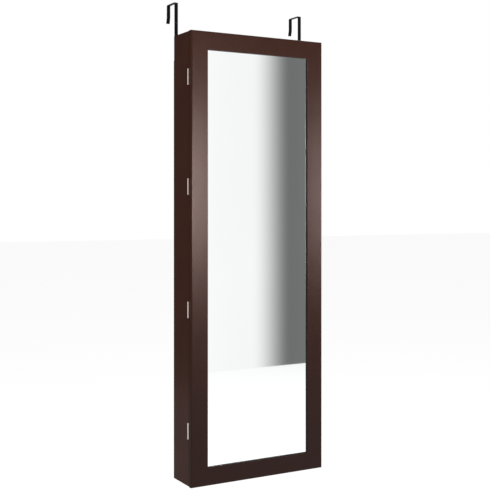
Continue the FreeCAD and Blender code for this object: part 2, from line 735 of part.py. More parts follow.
def build_holders():
    parts.append(necklace_rail())
    parts.append(necklace_pegs())
    parts.append(bracelet_rod())
    parts.append(rod_socket("left", -1))
    parts.append(rod_socket("right", 1))
    parts.append(ring_tray())
    parts.append(ring_rolls())
    for step, name in enumerate(("back", "middle", "front")):
        parts.append(earring_bar(name, step))


# --------------------------------------------------------------------------- door

def door_frame():
    """One routed frame: a lip in front, a rebate for the mirror behind it."""
    body = new_body("door_frame")
    pad(body, "XZ_Plane", DOOR_BACK, "door_thick", box_loop(f"-{DOOR_X}", DOOR_X, f"-{DOOR_Z}", DOOR_Z))
    cut(body, "XZ_Plane", DOOR_BACK, "door_thick",
        box_loop(f"-{OPENING_X}", OPENING_X, f"-{OPENING_Z}", OPENING_Z))
    cut(body, "XZ_Plane", DOOR_BACK, "door_thick - lip_thick",
        box_loop(f"-{REBATE_X}", REBATE_X, f"-{REBATE_Z}", REBATE_Z))
    front = measure(DOOR_FRONT)
    half = measure(DOOR_X)

    def at_front(box):
        return box.YMax < CLOSE - front

    def outside(box):
        return abs(box.XMin) > half - CLOSE or abs(box.XMax) > half - CLOSE

    ease(body, "door_round", lambda box: at_front(box) and outside(box))
    opening = measure(OPENING_X)
    ease(body, "lip_round", lambda box: at_front(box) and abs(box.XMin) < opening + CLOSE
         and abs(box.XMax) < opening + CLOSE)
    return body


def mirror_sheet(label, depth0, depth1):
    """A sheet that lies in the frame's rebate."""
    x = f"({REBATE_X} - glass_room)"
    z = f"({REBATE_Z} - glass_room)"
    return panel(label, f"-{x}", x, depth0, depth1, f"-{z}", z)


def clip_spots():
    """Where the mirror clips cross the rebate's edge: x, z and turn."""
    spots = []
    far = f"({REBATE_Z} - clip_end)"
    near = f"({far} - clip_apart)"
    for z in (near, f"-{near}", far, f"-{far}"):
        spots.append((REBATE_X, z, AS_MADE))
        spots.append((f"-{REBATE_X}", z, FreeCAD.Rotation(FreeCAD.Vector(0, 1, 0), 180)))
    for x in ("clip_side", "-clip_side"):
        spots.append((x, REBATE_Z, FreeCAD.Rotation(FreeCAD.Vector(0, 1, 0), -90)))
        spots.append((x, f"-{REBATE_Z}", FreeCAD.Rotation(FreeCAD.Vector(0, 1, 0), 90)))
    return spots


def mirror_clips():
    """Flat plates that keep the mirror, board and lining in the rebate."""
    one = new_body("clip")
    pad(one, "XZ_Plane", "0", "clip_thick",
        box_loop("-clip_hold", "clip_long - clip_hold", "-clip_wide / 2", "clip_wide / 2"))
    half = measure("clip_wide / 2")
    bevel(one, "clip_corner", lambda box: box.YLength > CLOSE and abs(abs(box.ZMin) - half) < CLOSE
          and box.XLength < CLOSE)
    cut(one, "XZ_Plane", "0", "clip_thick", flat_hole(CLIP_SCREW, "0", SCREW_HOLE))
    places = []
    for x, z, turn in clip_spots():
        places.append((x, f"{DOOR_BACK} - clip_thick", z, turn))
    return copies("mirror_clips", one, places)


def small_screw(label, long):
    """Pan-head screw. The head's underside is at its origin, the shank goes to -Y."""
    one = new_body(label)
    pad(one, "XZ_Plane", "-screw_head_tall", "screw_head_tall", flats_round("0", "0", "screw_head_r"))
    pad(one, "XZ_Plane", "0", long, flats_round("0", "0", "screw_r", FEW_FLATS))
    a, b = "recess_wide / 2", "recess_long / 2"
    cross = [(f"-{a}", f"-{b}"), (a, f"-{b}"), (a, f"-{a}"), (b, f"-{a}"), (b, a), (a, a),
             (a, b), (f"-{a}", b), (f"-{a}", a), (f"-{b}", a), (f"-{b}", f"-{a}"), (f"-{a}", f"-{a}")]
    cut(one, "XZ_Plane", "-screw_head_tall", "recess_deep", cross)
    return one


def flush_screw(label, shank, depth, long):
    """Countersunk screw. The head's top is at its origin, the shank goes to -Y."""
    return turned(label, (f"{shank} + {depth}", "0"), (shank, f"-{depth}"),
                  (f"{shank} * screw_point", f"-{long}"))


def clip_screws(screw):
    """One screw through each mirror clip, from behind the door."""
    places = []
    for x, z, turn in clip_spots():
        offset = turn.multVec(FreeCAD.Vector(1, 0, 0))
        places.append((f"{x} + {round(offset.x)} * {CLIP_SCREW}", f"{DOOR_BACK} - clip_thick",
                       f"{z} + {round(offset.z)} * {CLIP_SCREW}", AS_MADE))
    return copies("clip_screws", screw, places)


def build_door(screw):
    parts.append(door_frame())
    parts.append(mirror_sheet("mirror_glass", GLASS_BACK, f"({DOOR_FRONT} - lip_thick)"))
    parts.append(mirror_sheet("mirror_backing", f"({GLASS_BACK} - backing_thick)", GLASS_BACK))
    parts.append(mirror_sheet("door_lining", DOOR_BACK, f"({GLASS_BACK} - backing_thick)"))
    parts.append(mirror_clips())
    parts.append(clip_screws(screw))


# ------------------------------------------------------------------------- hinges

def knuckle_slot(first):
    """Room for the other leaf's knuckle, as a loop across the barrel."""
    low = f"-hinge_long / 2 + {first} * ({KNUCKLE} + knuckle_gap)"
    reach = "(knuckle_r + knuckle_clear)"
    return box_loop(f"-{reach}", reach, f"{low} - knuckle_gap", f"{low} + {KNUCKLE} + knuckle_gap")


def hinge_leaf(label, sign, slots):
    """A leaf with its knuckles round the pin axis. sign is +1 for the leaf behind the axis."""
    one = new_body(label)
    near = f"{sign} * leaf_room"
    far = f"{sign} * (leaf_room + leaf_thick)"
    start = "(pin_r + knuckle_r) / 2"
    end = "hinge_out + panel_thick"
    pad(one, "XY_Plane", "-hinge_long / 2", "hinge_long", flats_round("0", "0", "knuckle_r"))
    pad(one, "XY_Plane", "-hinge_long / 2", "hinge_long", box_loop(start, end, near, far))
    cut(one, "XY_Plane", "-hinge_long / 2", "hinge_long",
        flat_hole("0", "0", "pin_r + pin_room", FEW_FLATS))
    cut(one, "XZ_Plane", "-knuckle_r", "2 * knuckle_r", *[knuckle_slot(n) for n in slots])
    spots = [(LEAF_SCREW, "leaf_screw_apart"), (LEAF_SCREW, "-leaf_screw_apart")]
    cut(one, "XZ_Plane", "-knuckle_r", "2 * knuckle_r",
        *[flat_hole(x, z, SCREW_HOLE) for x, z in spots])
    countersink(one, "sink_deep", f"-({near})", SCREW_HOLE, spots)
    return one


def hinge_pin():
    """Pin with a small head at each end."""
    one = new_body("pin")
    half = "hinge_long / 2"
    head = flats_round("0", "0", "pin_head_r")
    pad(one, "XY_Plane", f"-{half} - pin_head_long", "pin_head_long", head)
    pad(one, "XY_Plane", f"-{half}", "hinge_long", flats_round("0", "0", "pin_r"))
    pad(one, "XY_Plane", half, "pin_head_long", head)
    return one


def build_hinges():
    fixed = hinge_leaf("leaf_fixed", 1, (1, 3))
    moving = hinge_leaf("leaf_door", -1, (0, 2, 4))
    places = [(PIN_X, PIN_DEPTH, up, AS_MADE) for up in HINGES]
    parts.append(copies("hinge_leaves_fixed", fixed, places))
    parts.append(copies("hinge_leaves_door", moving, places))
    parts.append(copies("hinge_pins", hinge_pin(), places))
    screw = flush_screw("leaf_screw", "screw_r", "sink_deep", "screw_long")
    for label, sign, turn in (("hinge_screws_fixed", -1, HALF_TURN), ("hinge_screws_door", 1, AS_MADE)):
        spots = []
        for up in HINGES:
            for apart in ("leaf_screw_apart", "-leaf_screw_apart"):
                spots.append((f"{PIN_X} + {LEAF_SCREW}", f"{PIN_DEPTH} + {sign} * leaf_room",
                              f"{up} + {apart}", turn))
        parts.append(copies(label, screw, spots))


# ---------------------------------------------------------------- over-door hooks

def over_door_hook(side, sign):
    """Bent strap: leg in the side panel's rebate, over the door, and a turned-out tip."""
    body = new_body("over_door_hook_" + side)
    top = HOOK_TOP
    under = f"({top} - strap_thick)"
    tip = f"({top} - hook_drop)"
    knee = f"({tip} + flare_long)"
    back = "(door_gap + strap_thick)"
    outline = [("-strap_thick", f"{HALF_TALL} - strap_low"), ("0", f"{HALF_TALL} - strap_low"),
               ("0", under), ("door_gap", under), ("door_gap", knee),
               ("door_gap + hook_flare", tip), (f"{back} + hook_flare", tip), (back, knee),
               (back, top), ("-strap_thick", top)]
    x = f"{sign} * {STRAP_X}"
    pad(body, "YZ_Plane", f"{x} - strap_wide / 2", "strap_wide", outline)
    gap = measure("door_gap")
    low = measure(knee)
    rise = measure(HOOK_TOP)
    ceiling = measure(under)

    def bend(box):
        return box.XLength > 1 and box.YLength < CLOSE and box.ZLength < CLOSE

    def inside(box):
        return bend(box) and abs(box.ZMin - ceiling) < CLOSE

    def outer(box):
        return bend(box) and box.ZMin > rise - CLOSE

    def knees(box):
        return bend(box) and abs(box.ZMin - low) < CLOSE and box.YMin > gap - CLOSE

    ease(body, "bend_r", inside)
    ease(body, "bend_r + strap_thick", outer)
    ease(body, "knee_r", knees)
    spots = [(x, z) for z in hook_screw_heights()]
    cut(body, "XZ_Plane", "0", "strap_thick", *[flat_hole(*spot, HOOK_HOLE) for spot in spots])
    countersink(body, "hook_sink_deep", "0", HOOK_HOLE, spots)
    return body


def hook_screw_heights():
    """Heights of a hook's two screws."""
    first = f"({HALF_TALL} - hook_screw_top)"
    return first, f"({first} - hook_screw_apart)"


def hook_screws():
    """Screws through the straps into the side panels, flush with the straps."""
    one = flush_screw("hook_screw", "hook_screw_r", "hook_sink_deep", "hook_screw_long")
    places = []
    for x in (f"-{STRAP_X}", STRAP_X):
        for z in hook_screw_heights():
            places.append((x, "0", z, AS_MADE))
    return copies("hook_screws", one, places)


def build_hooks():
    parts.append(over_door_hook("left", -1))
    parts.append(over_door_hook("right", 1))
    parts.append(hook_screws())


# ------------------------------------------------------------- catches and bumpers

def catch_case():
    """Case with a pocket for the magnet. Its origin is the middle of its front."""
    one = new_body("catch_case")
    half = "catch_wide / 2"
    pad(one, "XZ_Plane", "-catch_deep", "catch_deep",
        box_loop(f"-{half}", half, "-catch_tall / 2", "catch_tall / 2"))
    wide = "(magnet_wide / 2 + magnet_room)"
    tall = "(magnet_tall / 2 + magnet_room)"
    cut(one, "XZ_Plane", "magnet_out - magnet_deep - magnet_room", "magnet_deep - magnet_out + magnet_room",
        box_loop(f"-{wide}", wide, f"-{tall}", tall))
    cut(one, "YZ_Plane", f"-{half}", "catch_wide",
        flat_hole("catch_deep / 2", "catch_screw_up", SCREW_HOLE),
        flat_hole("catch_deep / 2", "-catch_screw_up", SCREW_HOLE))
    return one


def magnet():
    """Magnet that stands a little out of its case."""
    one = new_body("magnet")
    pad(one, "XZ_Plane", "magnet_out - magnet_deep", "magnet_deep",
        box_loop("-magnet_wide / 2", "magnet_wide / 2", "-magnet_tall / 2", "magnet_tall / 2"))
    return one


def build_catches():
    spots = [(CATCH_X, CATCH_FRONT, z, AS_MADE) for z in (CATCH_Z, f"-{CATCH_Z}")]
    parts.append(copies("catch_cases", catch_case(), spots))
    parts.append(copies("catch_magnets", magnet(), spots))
    long_screw = small_screw("catch_screw", "catch_screw_long")
    held = []
    for z in (CATCH_Z, f"-{CATCH_Z}"):
        for apart in ("catch_screw_up", "-catch_screw_up"):
            held.append((f"{IN_X} - catch_wide", f"{CATCH_FRONT} - catch_deep / 2",
                         f"{z} + {apart}", TO_RIGHT))
    parts.append(copies("catch_screws", long_screw, held))
    strike = new_body("strike")
    pad(strike, "XZ_Plane", "-strike_thick", "strike_thick",
        box_loop("-strike_wide / 2", "strike_wide / 2", "-strike_tall / 2", "strike_tall / 2"))
    cut(strike, "XZ_Plane", "-strike_thick", "strike_thick", flat_hole("0", "0", SCREW_HOLE))
    countersink(strike, "sink_deep", "-strike_thick", SCREW_HOLE, [("0", "0")])
    spots = [(CATCH_X, DOOR_BACK, z, AS_MADE) for z in (CATCH_Z, f"-{CATCH_Z}")]
    parts.append(copies("catch_strikes", strike, spots))
    flush = flush_screw("strike_screw", "screw_r", "sink_deep", "screw_long")
    spots = [(CATCH_X, f"{DOOR_BACK} - strike_thick", z, AS_MADE) for z in (CATCH_Z, f"-{CATCH_Z}")]
    parts.append(copies("strike_screws", flush, spots))
    bumper = new_body("bumper")
    pad(bumper, "XZ_Plane", "0", "bumper_thick", ("0", "0", "bumper_r"))
    end = f"({HALF_TALL} - bumper_end)"
    spots = [(STRAP_X, "body_deep", z, AS_MADE) for z in (end, f"-{end}")]
    parts.append(copies("door_bumpers", bumper, spots))


# --------------------------------------------------------------------------- lock

def lock_barrel():
    """Flanged barrel through the right side panel, bored for the plug."""
    body = new_body("lock_barrel")
    pad(body, "YZ_Plane", BARREL_END, f"{HALF_WIDE} - {BARREL_END}", (*LOCK_SPOT, "barrel_r"))
    pad(body, "YZ_Plane", HALF_WIDE, "flange_thick", flats_round(*LOCK_SPOT, "flange_r", MANY_FLATS))
    face = measure(f"{HALF_WIDE} + flange_thick")
    bevel(body, "flange_bevel", lambda box: box.XMin > face - CLOSE)
    cut(body, "YZ_Plane", BARREL_END, f"{HALF_WIDE} + flange_thick - {BARREL_END}",
        (*LOCK_SPOT, "plug_r + plug_room"))
    return body


def lock_nut():
    """Six-sided nut that draws the barrel tight."""
    body = new_body("lock_nut")
    pad(body, "YZ_Plane", f"{IN_X} - nut_thick", "nut_thick",
        flats_round(*LOCK_SPOT, "nut_r", NUT_FLATS))
    cut(body, "YZ_Plane", f"{IN_X} - nut_thick", "nut_thick", (*LOCK_SPOT, "barrel_r + barrel_room"))
    return body


def square_loop(half):
    """A square round the lock's axis."""
    y0, y1 = f"-{LOCK_DEPTH} - {half}", f"-{LOCK_DEPTH} + {half}"
    return box_loop(y0, y1, f"-{half}", half)


def lock_plug():
    """The part that the key turns, with a square end for the cam."""
    body = new_body("lock_plug")
    face = f"({HALF_WIDE} + flange_thick)"
    pad(body, "YZ_Plane", CAM_FACE, f"{face} - {CAM_FACE}", (*LOCK_SPOT, "plug_r"))
    pad(body, "YZ_Plane", f"{CAM_FACE} - cam_thick", "cam_thick", square_loop("(drive_wide / 2)"))
    slot = box_loop(f"-{LOCK_DEPTH} - key_wide / 2", f"-{LOCK_DEPTH} + key_wide / 2",
                    "-key_tall / 2", "key_tall / 2")
    cut(body, "YZ_Plane", f"{face} - key_deep", "key_deep", slot)
    return body


def lock_cam():
    """Hooked cam, drawn as it lies when the lock is open: arm down, hook to the front."""
    body = new_body("lock_cam")
    start = f"{CAM_FACE} - cam_thick"
    arm = "(cam_arm_wide / 2)"
    y = f"-{LOCK_DEPTH}"
    outline = [(f"{y} + {arm}", "0"), (f"{y} - {arm}", "0"),
               (f"{y} - {arm}", "cam_hook_wide - cam_long"),
               (f"{y} - cam_hook_high", "cam_hook_wide - cam_long"),
               (f"{y} - cam_hook_high", "-cam_long"), (f"{y} + {arm}", "-cam_long")]
    pad(body, "YZ_Plane", start, "cam_thick", (*LOCK_SPOT, "cam_hub_r"))
    pad(body, "YZ_Plane", start, "cam_thick", outline)
    cut(body, "YZ_Plane", start, "cam_thick", square_loop("(drive_wide / 2 + plug_room)"))
    return body


def lock_cam_screw():
    """Screw head that holds the cam on the plug."""
    body = new_body("lock_cam_screw")
    pad(body, "YZ_Plane", f"{CAM_FACE} - cam_thick - cam_screw_tall", "cam_screw_tall",
        (*LOCK_SPOT, "cam_screw_r"))
    return body


def lock_strike():
    """Z-shaped strike: foot on the door, leg into the cabinet, plate that the cam hooks."""
    body = new_body("lock_strike")
    door = f"-{DOOR_BACK}"
    thick = "lock_strike_thick"
    catch = f"(-{LOCK_DEPTH} - cam_long + cam_hook_wide + hook_play)"
    leg = "lock_strike_leg"
    outline = [(door, leg), (catch, leg), (catch, "lock_strike_low"),
               (f"{catch} + {thick}", "lock_strike_low"), (f"{catch} + {thick}", f"{leg} + {thick}"),
               (f"{door} + {thick}", f"{leg} + {thick}"),
               (f"{door} + {thick}", f"{leg} + lock_strike_foot"), (door, f"{leg} + lock_strike_foot")]
    pad(body, "YZ_Plane", f"{IN_X} - lock_strike_side - lock_strike_wide", "lock_strike_wide", outline)
    cut(body, "XZ_Plane", f"{DOOR_BACK} - {thick}", thick, flat_hole(STRIKE_X, STRIKE_Z, SCREW_HOLE))
    return body


def lock_hole():
    """Bores the right side panel for the barrel."""
    side = next(part for part in parts if part.Label == "side_panel_right")
    cut(side, "YZ_Plane", IN_X, "panel_thick", (*LOCK_SPOT, "barrel_r + barrel_room"))


def build_lock(screw):
    lock_hole()
    parts.append(lock_barrel())
    parts.append(lock_nut())
    parts.append(lock_plug())
    parts.append(lock_cam())
    parts.append(lock_cam_screw())
    parts.append(lock_strike())
    parts.append(copies("lock_strike_screws", screw,
                        [(STRIKE_X, f"{DOOR_BACK} - lock_strike_thick", STRIKE_Z, AS_MADE)]))


# -------------------------------------------------------------------------- build

build_carcass()
build_holders()
small = small_screw("small_screw", "screw_long")
build_door(small)
build_hinges()
build_hooks()
build_catches()
build_lock(small)
doc.recompute()

for thing in doc.Objects:
    if "Invalid" in thing.State or "Error" in thing.State:
        raise RuntimeError(thing.Label + " did not build")
for part in parts:
    if part.Shape.isNull() or not part.Shape.isValid():
        raise RuntimeError(part.Label + " has no valid shape")

os.makedirs("parts", exist_ok=True)
for part in parts:
    part.Shape.exportStep(os.path.join("parts", part.Label + ".step"))
print(len(parts), "parts written")
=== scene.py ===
# %% [markdown]
# # A jewelry cabinet with a mirror door
# The object is a shallow cabinet. With its door it is 373 mm wide, 1082 mm tall and
# 98 mm deep. It hangs over a house door on two black straps. The door is a dark espresso
# frame round a long mirror, and everything inside is dressed in black velvet.
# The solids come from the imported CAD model. This script gives them their finishes,
# and builds finer pieces where the plain solids are too plain.

# %% Load the frame
import json
import math

import bmesh
import bpy
from mathutils import Matrix, Vector


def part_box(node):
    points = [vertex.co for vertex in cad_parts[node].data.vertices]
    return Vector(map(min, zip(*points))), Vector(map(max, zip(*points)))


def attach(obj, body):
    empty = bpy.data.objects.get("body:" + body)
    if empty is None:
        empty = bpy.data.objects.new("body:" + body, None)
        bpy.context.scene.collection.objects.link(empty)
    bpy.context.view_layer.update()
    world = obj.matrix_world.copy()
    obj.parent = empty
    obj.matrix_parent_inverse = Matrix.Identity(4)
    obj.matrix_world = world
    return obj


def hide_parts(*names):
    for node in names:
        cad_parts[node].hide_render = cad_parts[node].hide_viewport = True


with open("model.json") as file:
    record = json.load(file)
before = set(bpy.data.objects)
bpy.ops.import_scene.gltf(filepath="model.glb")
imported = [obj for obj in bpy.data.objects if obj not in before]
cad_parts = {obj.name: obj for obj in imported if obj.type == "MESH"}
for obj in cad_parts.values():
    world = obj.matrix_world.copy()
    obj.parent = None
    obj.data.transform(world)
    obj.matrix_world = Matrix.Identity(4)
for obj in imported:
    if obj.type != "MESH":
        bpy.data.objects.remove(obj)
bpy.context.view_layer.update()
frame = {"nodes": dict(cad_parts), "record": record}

MM = 0.001

# %% [markdown]
# ## The camera
# The photograph looks at the cabinet from the left, 29.3 degrees off the front, with
# the camera level. Its horizon lies above the middle of the picture, so the lens is
# shifted down instead of tilted, which keeps the cabinet's upright edges upright.

# %% Camera at the photograph's angle
PICTURE_PIXELS = 490
FOCAL_PIXELS = 955.2
HORIZON_PIXELS = 204.77
SENSOR = 36.0
VIEW_TURN = math.radians(29.32)
CAMERA_PLACE = (-1.1764, -2.1217, 0.1279)

camera_data = bpy.data.cameras.new("studio_camera")
camera_data.sensor_width = SENSOR
camera_data.lens = FOCAL_PIXELS * SENSOR / PICTURE_PIXELS
camera_data.shift_y = (HORIZON_PIXELS - PICTURE_PIXELS / 2) / PICTURE_PIXELS
camera = bpy.data.objects.new("studio_camera", camera_data)
camera.location = CAMERA_PLACE
camera.rotation_euler = (math.radians(90), 0, -VIEW_TURN)
bpy.context.scene.collection.objects.link(camera)
bpy.context.scene.camera = camera
print("lens", round(camera_data.lens, 2), "mm, shift", round(camera_data.shift_y, 4))

# %% [markdown]
# ## Colours and nodes
# Colours are written as sRGB hex, as a paint chart gives them, and one function turns
# them to the linear values that the shader works in. A second small function adds a
# node with its settings and links. Patterns are sized from real millimetres: object
# coordinates are in metres, so a pattern of a given size has a scale of 1 / size.

# %% Helpers for materials
bpy.context.scene.view_settings.view_transform = "Standard"


def linear(code):
    """A colour written as sRGB hex, as linear red, green, blue and alpha."""
    shares = [int(code[at:at + 2], 16) / 255 for at in (1, 3, 5)]
    return [s / 12.92 if s <= 0.04045 else ((s + 0.055) / 1.055) ** 2.4 for s in shares] + [1.0]


def add_node(material, kind, inputs=None, outputs=None, **settings):
    """Adds a node. Inputs are numbers or the sockets that feed them."""
    node = material.node_tree.nodes.new(kind)
    links = material.node_tree.links
    for name, value in settings.items():
        setattr(node, name, value)
    for name, value in (inputs or {}).items():
        if isinstance(value, bpy.types.NodeSocket):
            links.new(value, node.inputs[name])
        else:
            node.inputs[name].default_value = value
    for name, socket in (outputs or {}).items():
        links.new(node.outputs[name], socket)
    return node


def new_material(name, **sockets):
    """A material with a Principled shader. Returns it, the shader and its coordinates."""
    material = bpy.data.materials.new(name)
    material.use_nodes = True
    shader = material.node_tree.nodes["Principled BSDF"]
    for socket, value in sockets.items():
        shader.inputs[socket.replace("_", " ")].default_value = value
    place = add_node(material, "ShaderNodeTexCoord").outputs["Object"]
    print("material", name)
    return material, shader, place


def per_metre(size_mm):
    """The scale of a pattern whose waves are a number of millimetres apart."""
    return 1 / (size_mm * MM)


# %% [markdown]
# ## Espresso paint
# The cabinet is fibreboard with a dark red-brown satin lacquer, sprayed and not
# polished. Sprayed lacquer dries with a faint orange peel, waves a few millimetres
# long, which softens the reflection of a lamp. A slow drift in the colour and in the
# gloss keeps the large flat panels from looking like plastic sheet. A lacquer's
# specular level is usually about 0.5. It is 0.1 here, because a studio that is white
# all round lays a grey haze on a dark gloss, which the photograph doesn't have. The
# carcass and the door share this finish, so one function makes it.

# %% Espresso paint
def lacquer(name):
    """Satin espresso lacquer. Returns it, its shader, its place and its colour node."""
    paint, shader, place = new_material(name, IOR=1.5, Specular_IOR_Level=0.10,
                                        Specular_Tint=linear("#FFEAE5"))
    drift = add_node(paint, "ShaderNodeTexNoise",
                     {"Vector": place, "Scale": per_metre(90), "Detail": 3.0, "Roughness": 0.5})
    colour = add_node(paint, "ShaderNodeMix",
                      {"Factor": drift.outputs["Fac"], "A": linear("#3B1F17"),
                       "B": linear("#46261C")},
                      {"Result": shader.inputs["Base Color"]}, data_type="RGBA")
    cloud = add_node(paint, "ShaderNodeTexNoise",
                     {"Vector": place, "Scale": per_metre(25), "Detail": 4.0})
    add_node(paint, "ShaderNodeMapRange",
             {"Value": cloud.outputs["Fac"], "To Min": 0.17, "To Max": 0.23},
             {"Result": shader.inputs["Roughness"]})
    peel = add_node(paint, "ShaderNodeTexNoise",
                    {"Vector": place, "Scale": per_metre(2.2), "Detail": 2.0, "Roughness": 0.45})
    add_node(paint, "ShaderNodeBump",
             {"Height": peel.outputs["Fac"], "Strength": 0.2, "Distance": 0.16 * MM},
             {"Normal": shader.inputs["Normal"]})
    return paint, shader, place, colour


espresso = lacquer("espresso_satin_lacquer")[0]

# %% [markdown]
# ## The door's paint
# The door has the same lacquer with two marks of painted shade, which stay with
# the door in every view. Its lower end is painted darker and less red, as the shade
# where less light falls towards the bottom. The narrow lip round the mirror is
# painted nearly black, as the shade in that recess. Both follow from where a point
# lies on the door: its height gives the first, and how far it is inside the opening
# gives the second.

# %% Paint of the door, with its painted shade
OPENING_WIDE, OPENING_TALL = 281.0, 993.0
LIP_ROOM = 0.2
SHADE_FADE_TOP, SHADE_FADE_LOW = 100, -500
door_lacquer_and_shade, shader, place, colour = lacquer("espresso_lacquer_with_painted_shade")
point = add_node(door_lacquer_and_shade, "ShaderNodeSeparateXYZ", {"Vector": place})
# Painted shade: towards the door's foot the paint turns darker and less red.
shade_fade = add_node(door_lacquer_and_shade, "ShaderNodeMapRange",
               {"Value": point.outputs["Z"], "From Min": SHADE_FADE_TOP * MM, "From Max": SHADE_FADE_LOW * MM},
               interpolation_type="SMOOTHSTEP")
painted_low_shade = add_node(door_lacquer_and_shade, "ShaderNodeMix",
                   {"Factor": shade_fade.outputs["Result"], "A": colour.outputs["Result"],
                    "B": linear("#2F1D1A")}, data_type="RGBA")
inside = []
for axis, size in (("X", OPENING_WIDE), ("Z", OPENING_TALL)):
    away = add_node(door_lacquer_and_shade, "ShaderNodeMath", {0: point.outputs[axis]}, operation="ABSOLUTE")
    inside.append(add_node(door_lacquer_and_shade, "ShaderNodeMath",
                           {0: away.outputs[0], 1: (size / 2 + LIP_ROOM) * MM},
                           operation="LESS_THAN").outputs[0])
painted_lip_shade = add_node(door_lacquer_and_shade, "ShaderNodeMath", {0: inside[0], 1: inside[1]}, operation="MULTIPLY")
# Painted shade: the lip inside the opening is painted nearly black.
add_node(door_lacquer_and_shade, "ShaderNodeMix",
         {"Factor": painted_lip_shade.outputs[0], "A": painted_low_shade.outputs["Result"], "B": linear("#0D0807")},
         {"Result": shader.inputs["Base Color"]}, data_type="RGBA")

# %% [markdown]
# ## Black velvet
# The inside is lined with flocked velvet. Its short upright fibres catch light at a
# grazing angle, which the shader's sheen gives, and brushed areas look a little paler.
# The fibres are finer than a render can show, so the nap is drawn 0.8 mm apart, with
# grey tips over black roots.

# %% Black velvet
velvet, shader, place = new_material(
    "black_flocked_velvet", Roughness=0.95, Specular_IOR_Level=0.1, Sheen_Weight=1.0,
    Sheen_Roughness=0.4, Sheen_Tint=linear("#B4B0B2"))
brushed = add_node(velvet, "ShaderNodeTexNoise",
                   {"Vector": place, "Scale": per_metre(38), "Detail": 5.0, "Distortion": 0.6})
strokes = add_node(velvet, "ShaderNodeMapRange",
                   {"Value": brushed.outputs["Fac"], "From Min": 0.35, "From Max": 0.65})
nap = add_node(velvet, "ShaderNodeTexNoise",
               {"Vector": place, "Scale": per_metre(0.8), "Detail": 3.0, "Roughness": 0.7})
tips = add_node(velvet, "ShaderNodeMapRange",
                {"Value": nap.outputs["Fac"], "From Min": 0.38, "From Max": 0.66})
pile = add_node(velvet, "ShaderNodeMix",
                {"Factor": strokes.outputs["Result"], "A": linear("#0B0A0B"),
                 "B": linear("#1A191A")}, data_type="RGBA")
add_node(velvet, "ShaderNodeMix",
         {"Factor": tips.outputs["Result"], "A": pile.outputs["Result"],
          "B": linear("#37353A")},
         {"Result": shader.inputs["Base Color"]}, data_type="RGBA")
add_node(velvet, "ShaderNodeBump",
         {"Height": nap.outputs["Fac"], "Strength": 0.8, "Distance": 0.35 * MM},
         {"Normal": shader.inputs["Normal"]})

# %% [markdown]
# ## Silvered glass
# A mirror is clear float glass with silver on its back. Seen from the front it is a
# metal reflection, a touch green from the glass, under a clear gloss. The silver's
# tint drifts a little, because float glass is never quite even.

# %% Silvered glass
silvered, shader, place = new_material("silvered_float_glass", Metallic=1.0, Roughness=0.015,
                                       Coat_Weight=0.5, Coat_Roughness=0.0)
tint = add_node(silvered, "ShaderNodeTexNoise",
                {"Vector": place, "Scale": per_metre(300), "Detail": 1.0})
add_node(silvered, "ShaderNodeMix",
         {"Factor": tint.outputs["Fac"], "A": linear("#F2F5F4"), "B": linear("#F8F9F9")},
         {"Result": shader.inputs["Base Color"]}, data_type="RGBA")

# %% [markdown]
# ## Metals
# The hinges are steel with bright nickel plating, which is warm and has a fine
# crystalline mottle. Clips, strikes and the lock's nut and cam are plain zinc plate,
# duller and greyer, and so are the screws. The straps are steel under black powder
# coat, whose grain is about half a millimetre. Its specular level is low for the same
# reason as the paint's. The lock is polished chrome, and the knobs and the bracelet
# rod are brushed nickel, whose brush lines are drawn half a millimetre apart because
# real ones are too fine to show.

# %% Plated hinge steel
hinge_plate, shader, place = new_material("nickel_plated_hinge_steel", Metallic=1.0)
mottle = add_node(hinge_plate, "ShaderNodeTexVoronoi", {"Vector": place, "Scale": per_metre(1.4)})
add_node(hinge_plate, "ShaderNodeMix",
         {"Factor": mottle.outputs["Distance"], "A": linear("#EBDDD5"), "B": linear("#D6C9C1")},
         {"Result": shader.inputs["Base Color"]}, data_type="RGBA")
add_node(hinge_plate, "ShaderNodeMapRange",
         {"Value": mottle.outputs["Distance"], "To Min": 0.25, "To Max": 0.42},
         {"Result": shader.inputs["Roughness"]})

# %% Zinc plate
zinc, shader, place = new_material("dull_zinc_plate", Metallic=1.0)
mottle = add_node(zinc, "ShaderNodeTexVoronoi", {"Vector": place, "Scale": per_metre(1.8)})
add_node(zinc, "ShaderNodeMix",
         {"Factor": mottle.outputs["Distance"], "A": linear("#A9A8A4"), "B": linear("#949390")},
         {"Result": shader.inputs["Base Color"]}, data_type="RGBA")
add_node(zinc, "ShaderNodeMapRange",
         {"Value": mottle.outputs["Distance"], "To Min": 0.3, "To Max": 0.48},
         {"Result": shader.inputs["Roughness"]})

# %% Screw steel
screw_steel, shader, place = new_material("zinc_plated_screw_steel", Metallic=1.0)
dulled = add_node(screw_steel, "ShaderNodeTexNoise",
                  {"Vector": place, "Scale": per_metre(1.8), "Detail": 4.0})
add_node(screw_steel, "ShaderNodeMix",
         {"Factor": dulled.outputs["Fac"], "A": linear("#A19E96"), "B": linear("#B7B4AD")},
         {"Result": shader.inputs["Base Color"]}, data_type="RGBA")
add_node(screw_steel, "ShaderNodeMapRange",
         {"Value": dulled.outputs["Fac"], "To Min": 0.28, "To Max": 0.48},
         {"Result": shader.inputs["Roughness"]})

# %% Black powder coat
powder, shader, place = new_material("black_powder_coat", Specular_IOR_Level=0.16)
grain = add_node(powder, "ShaderNodeTexNoise",
                 {"Vector": place, "Scale": per_metre(0.6), "Detail": 3.0})
add_node(powder, "ShaderNodeMix",
         {"Factor": grain.outputs["Fac"], "A": linear("#060607"), "B": linear("#101012")},
         {"Result": shader.inputs["Base Color"]}, data_type="RGBA")
add_node(powder, "ShaderNodeMapRange",
         {"Value": grain.outputs["Fac"], "To Min": 0.42, "To Max": 0.58},
         {"Result": shader.inputs["Roughness"]})
add_node(powder, "ShaderNodeBump",
         {"Height": grain.outputs["Fac"], "Strength": 0.35, "Distance": 0.08 * MM},
         {"Normal": shader.inputs["Normal"]})

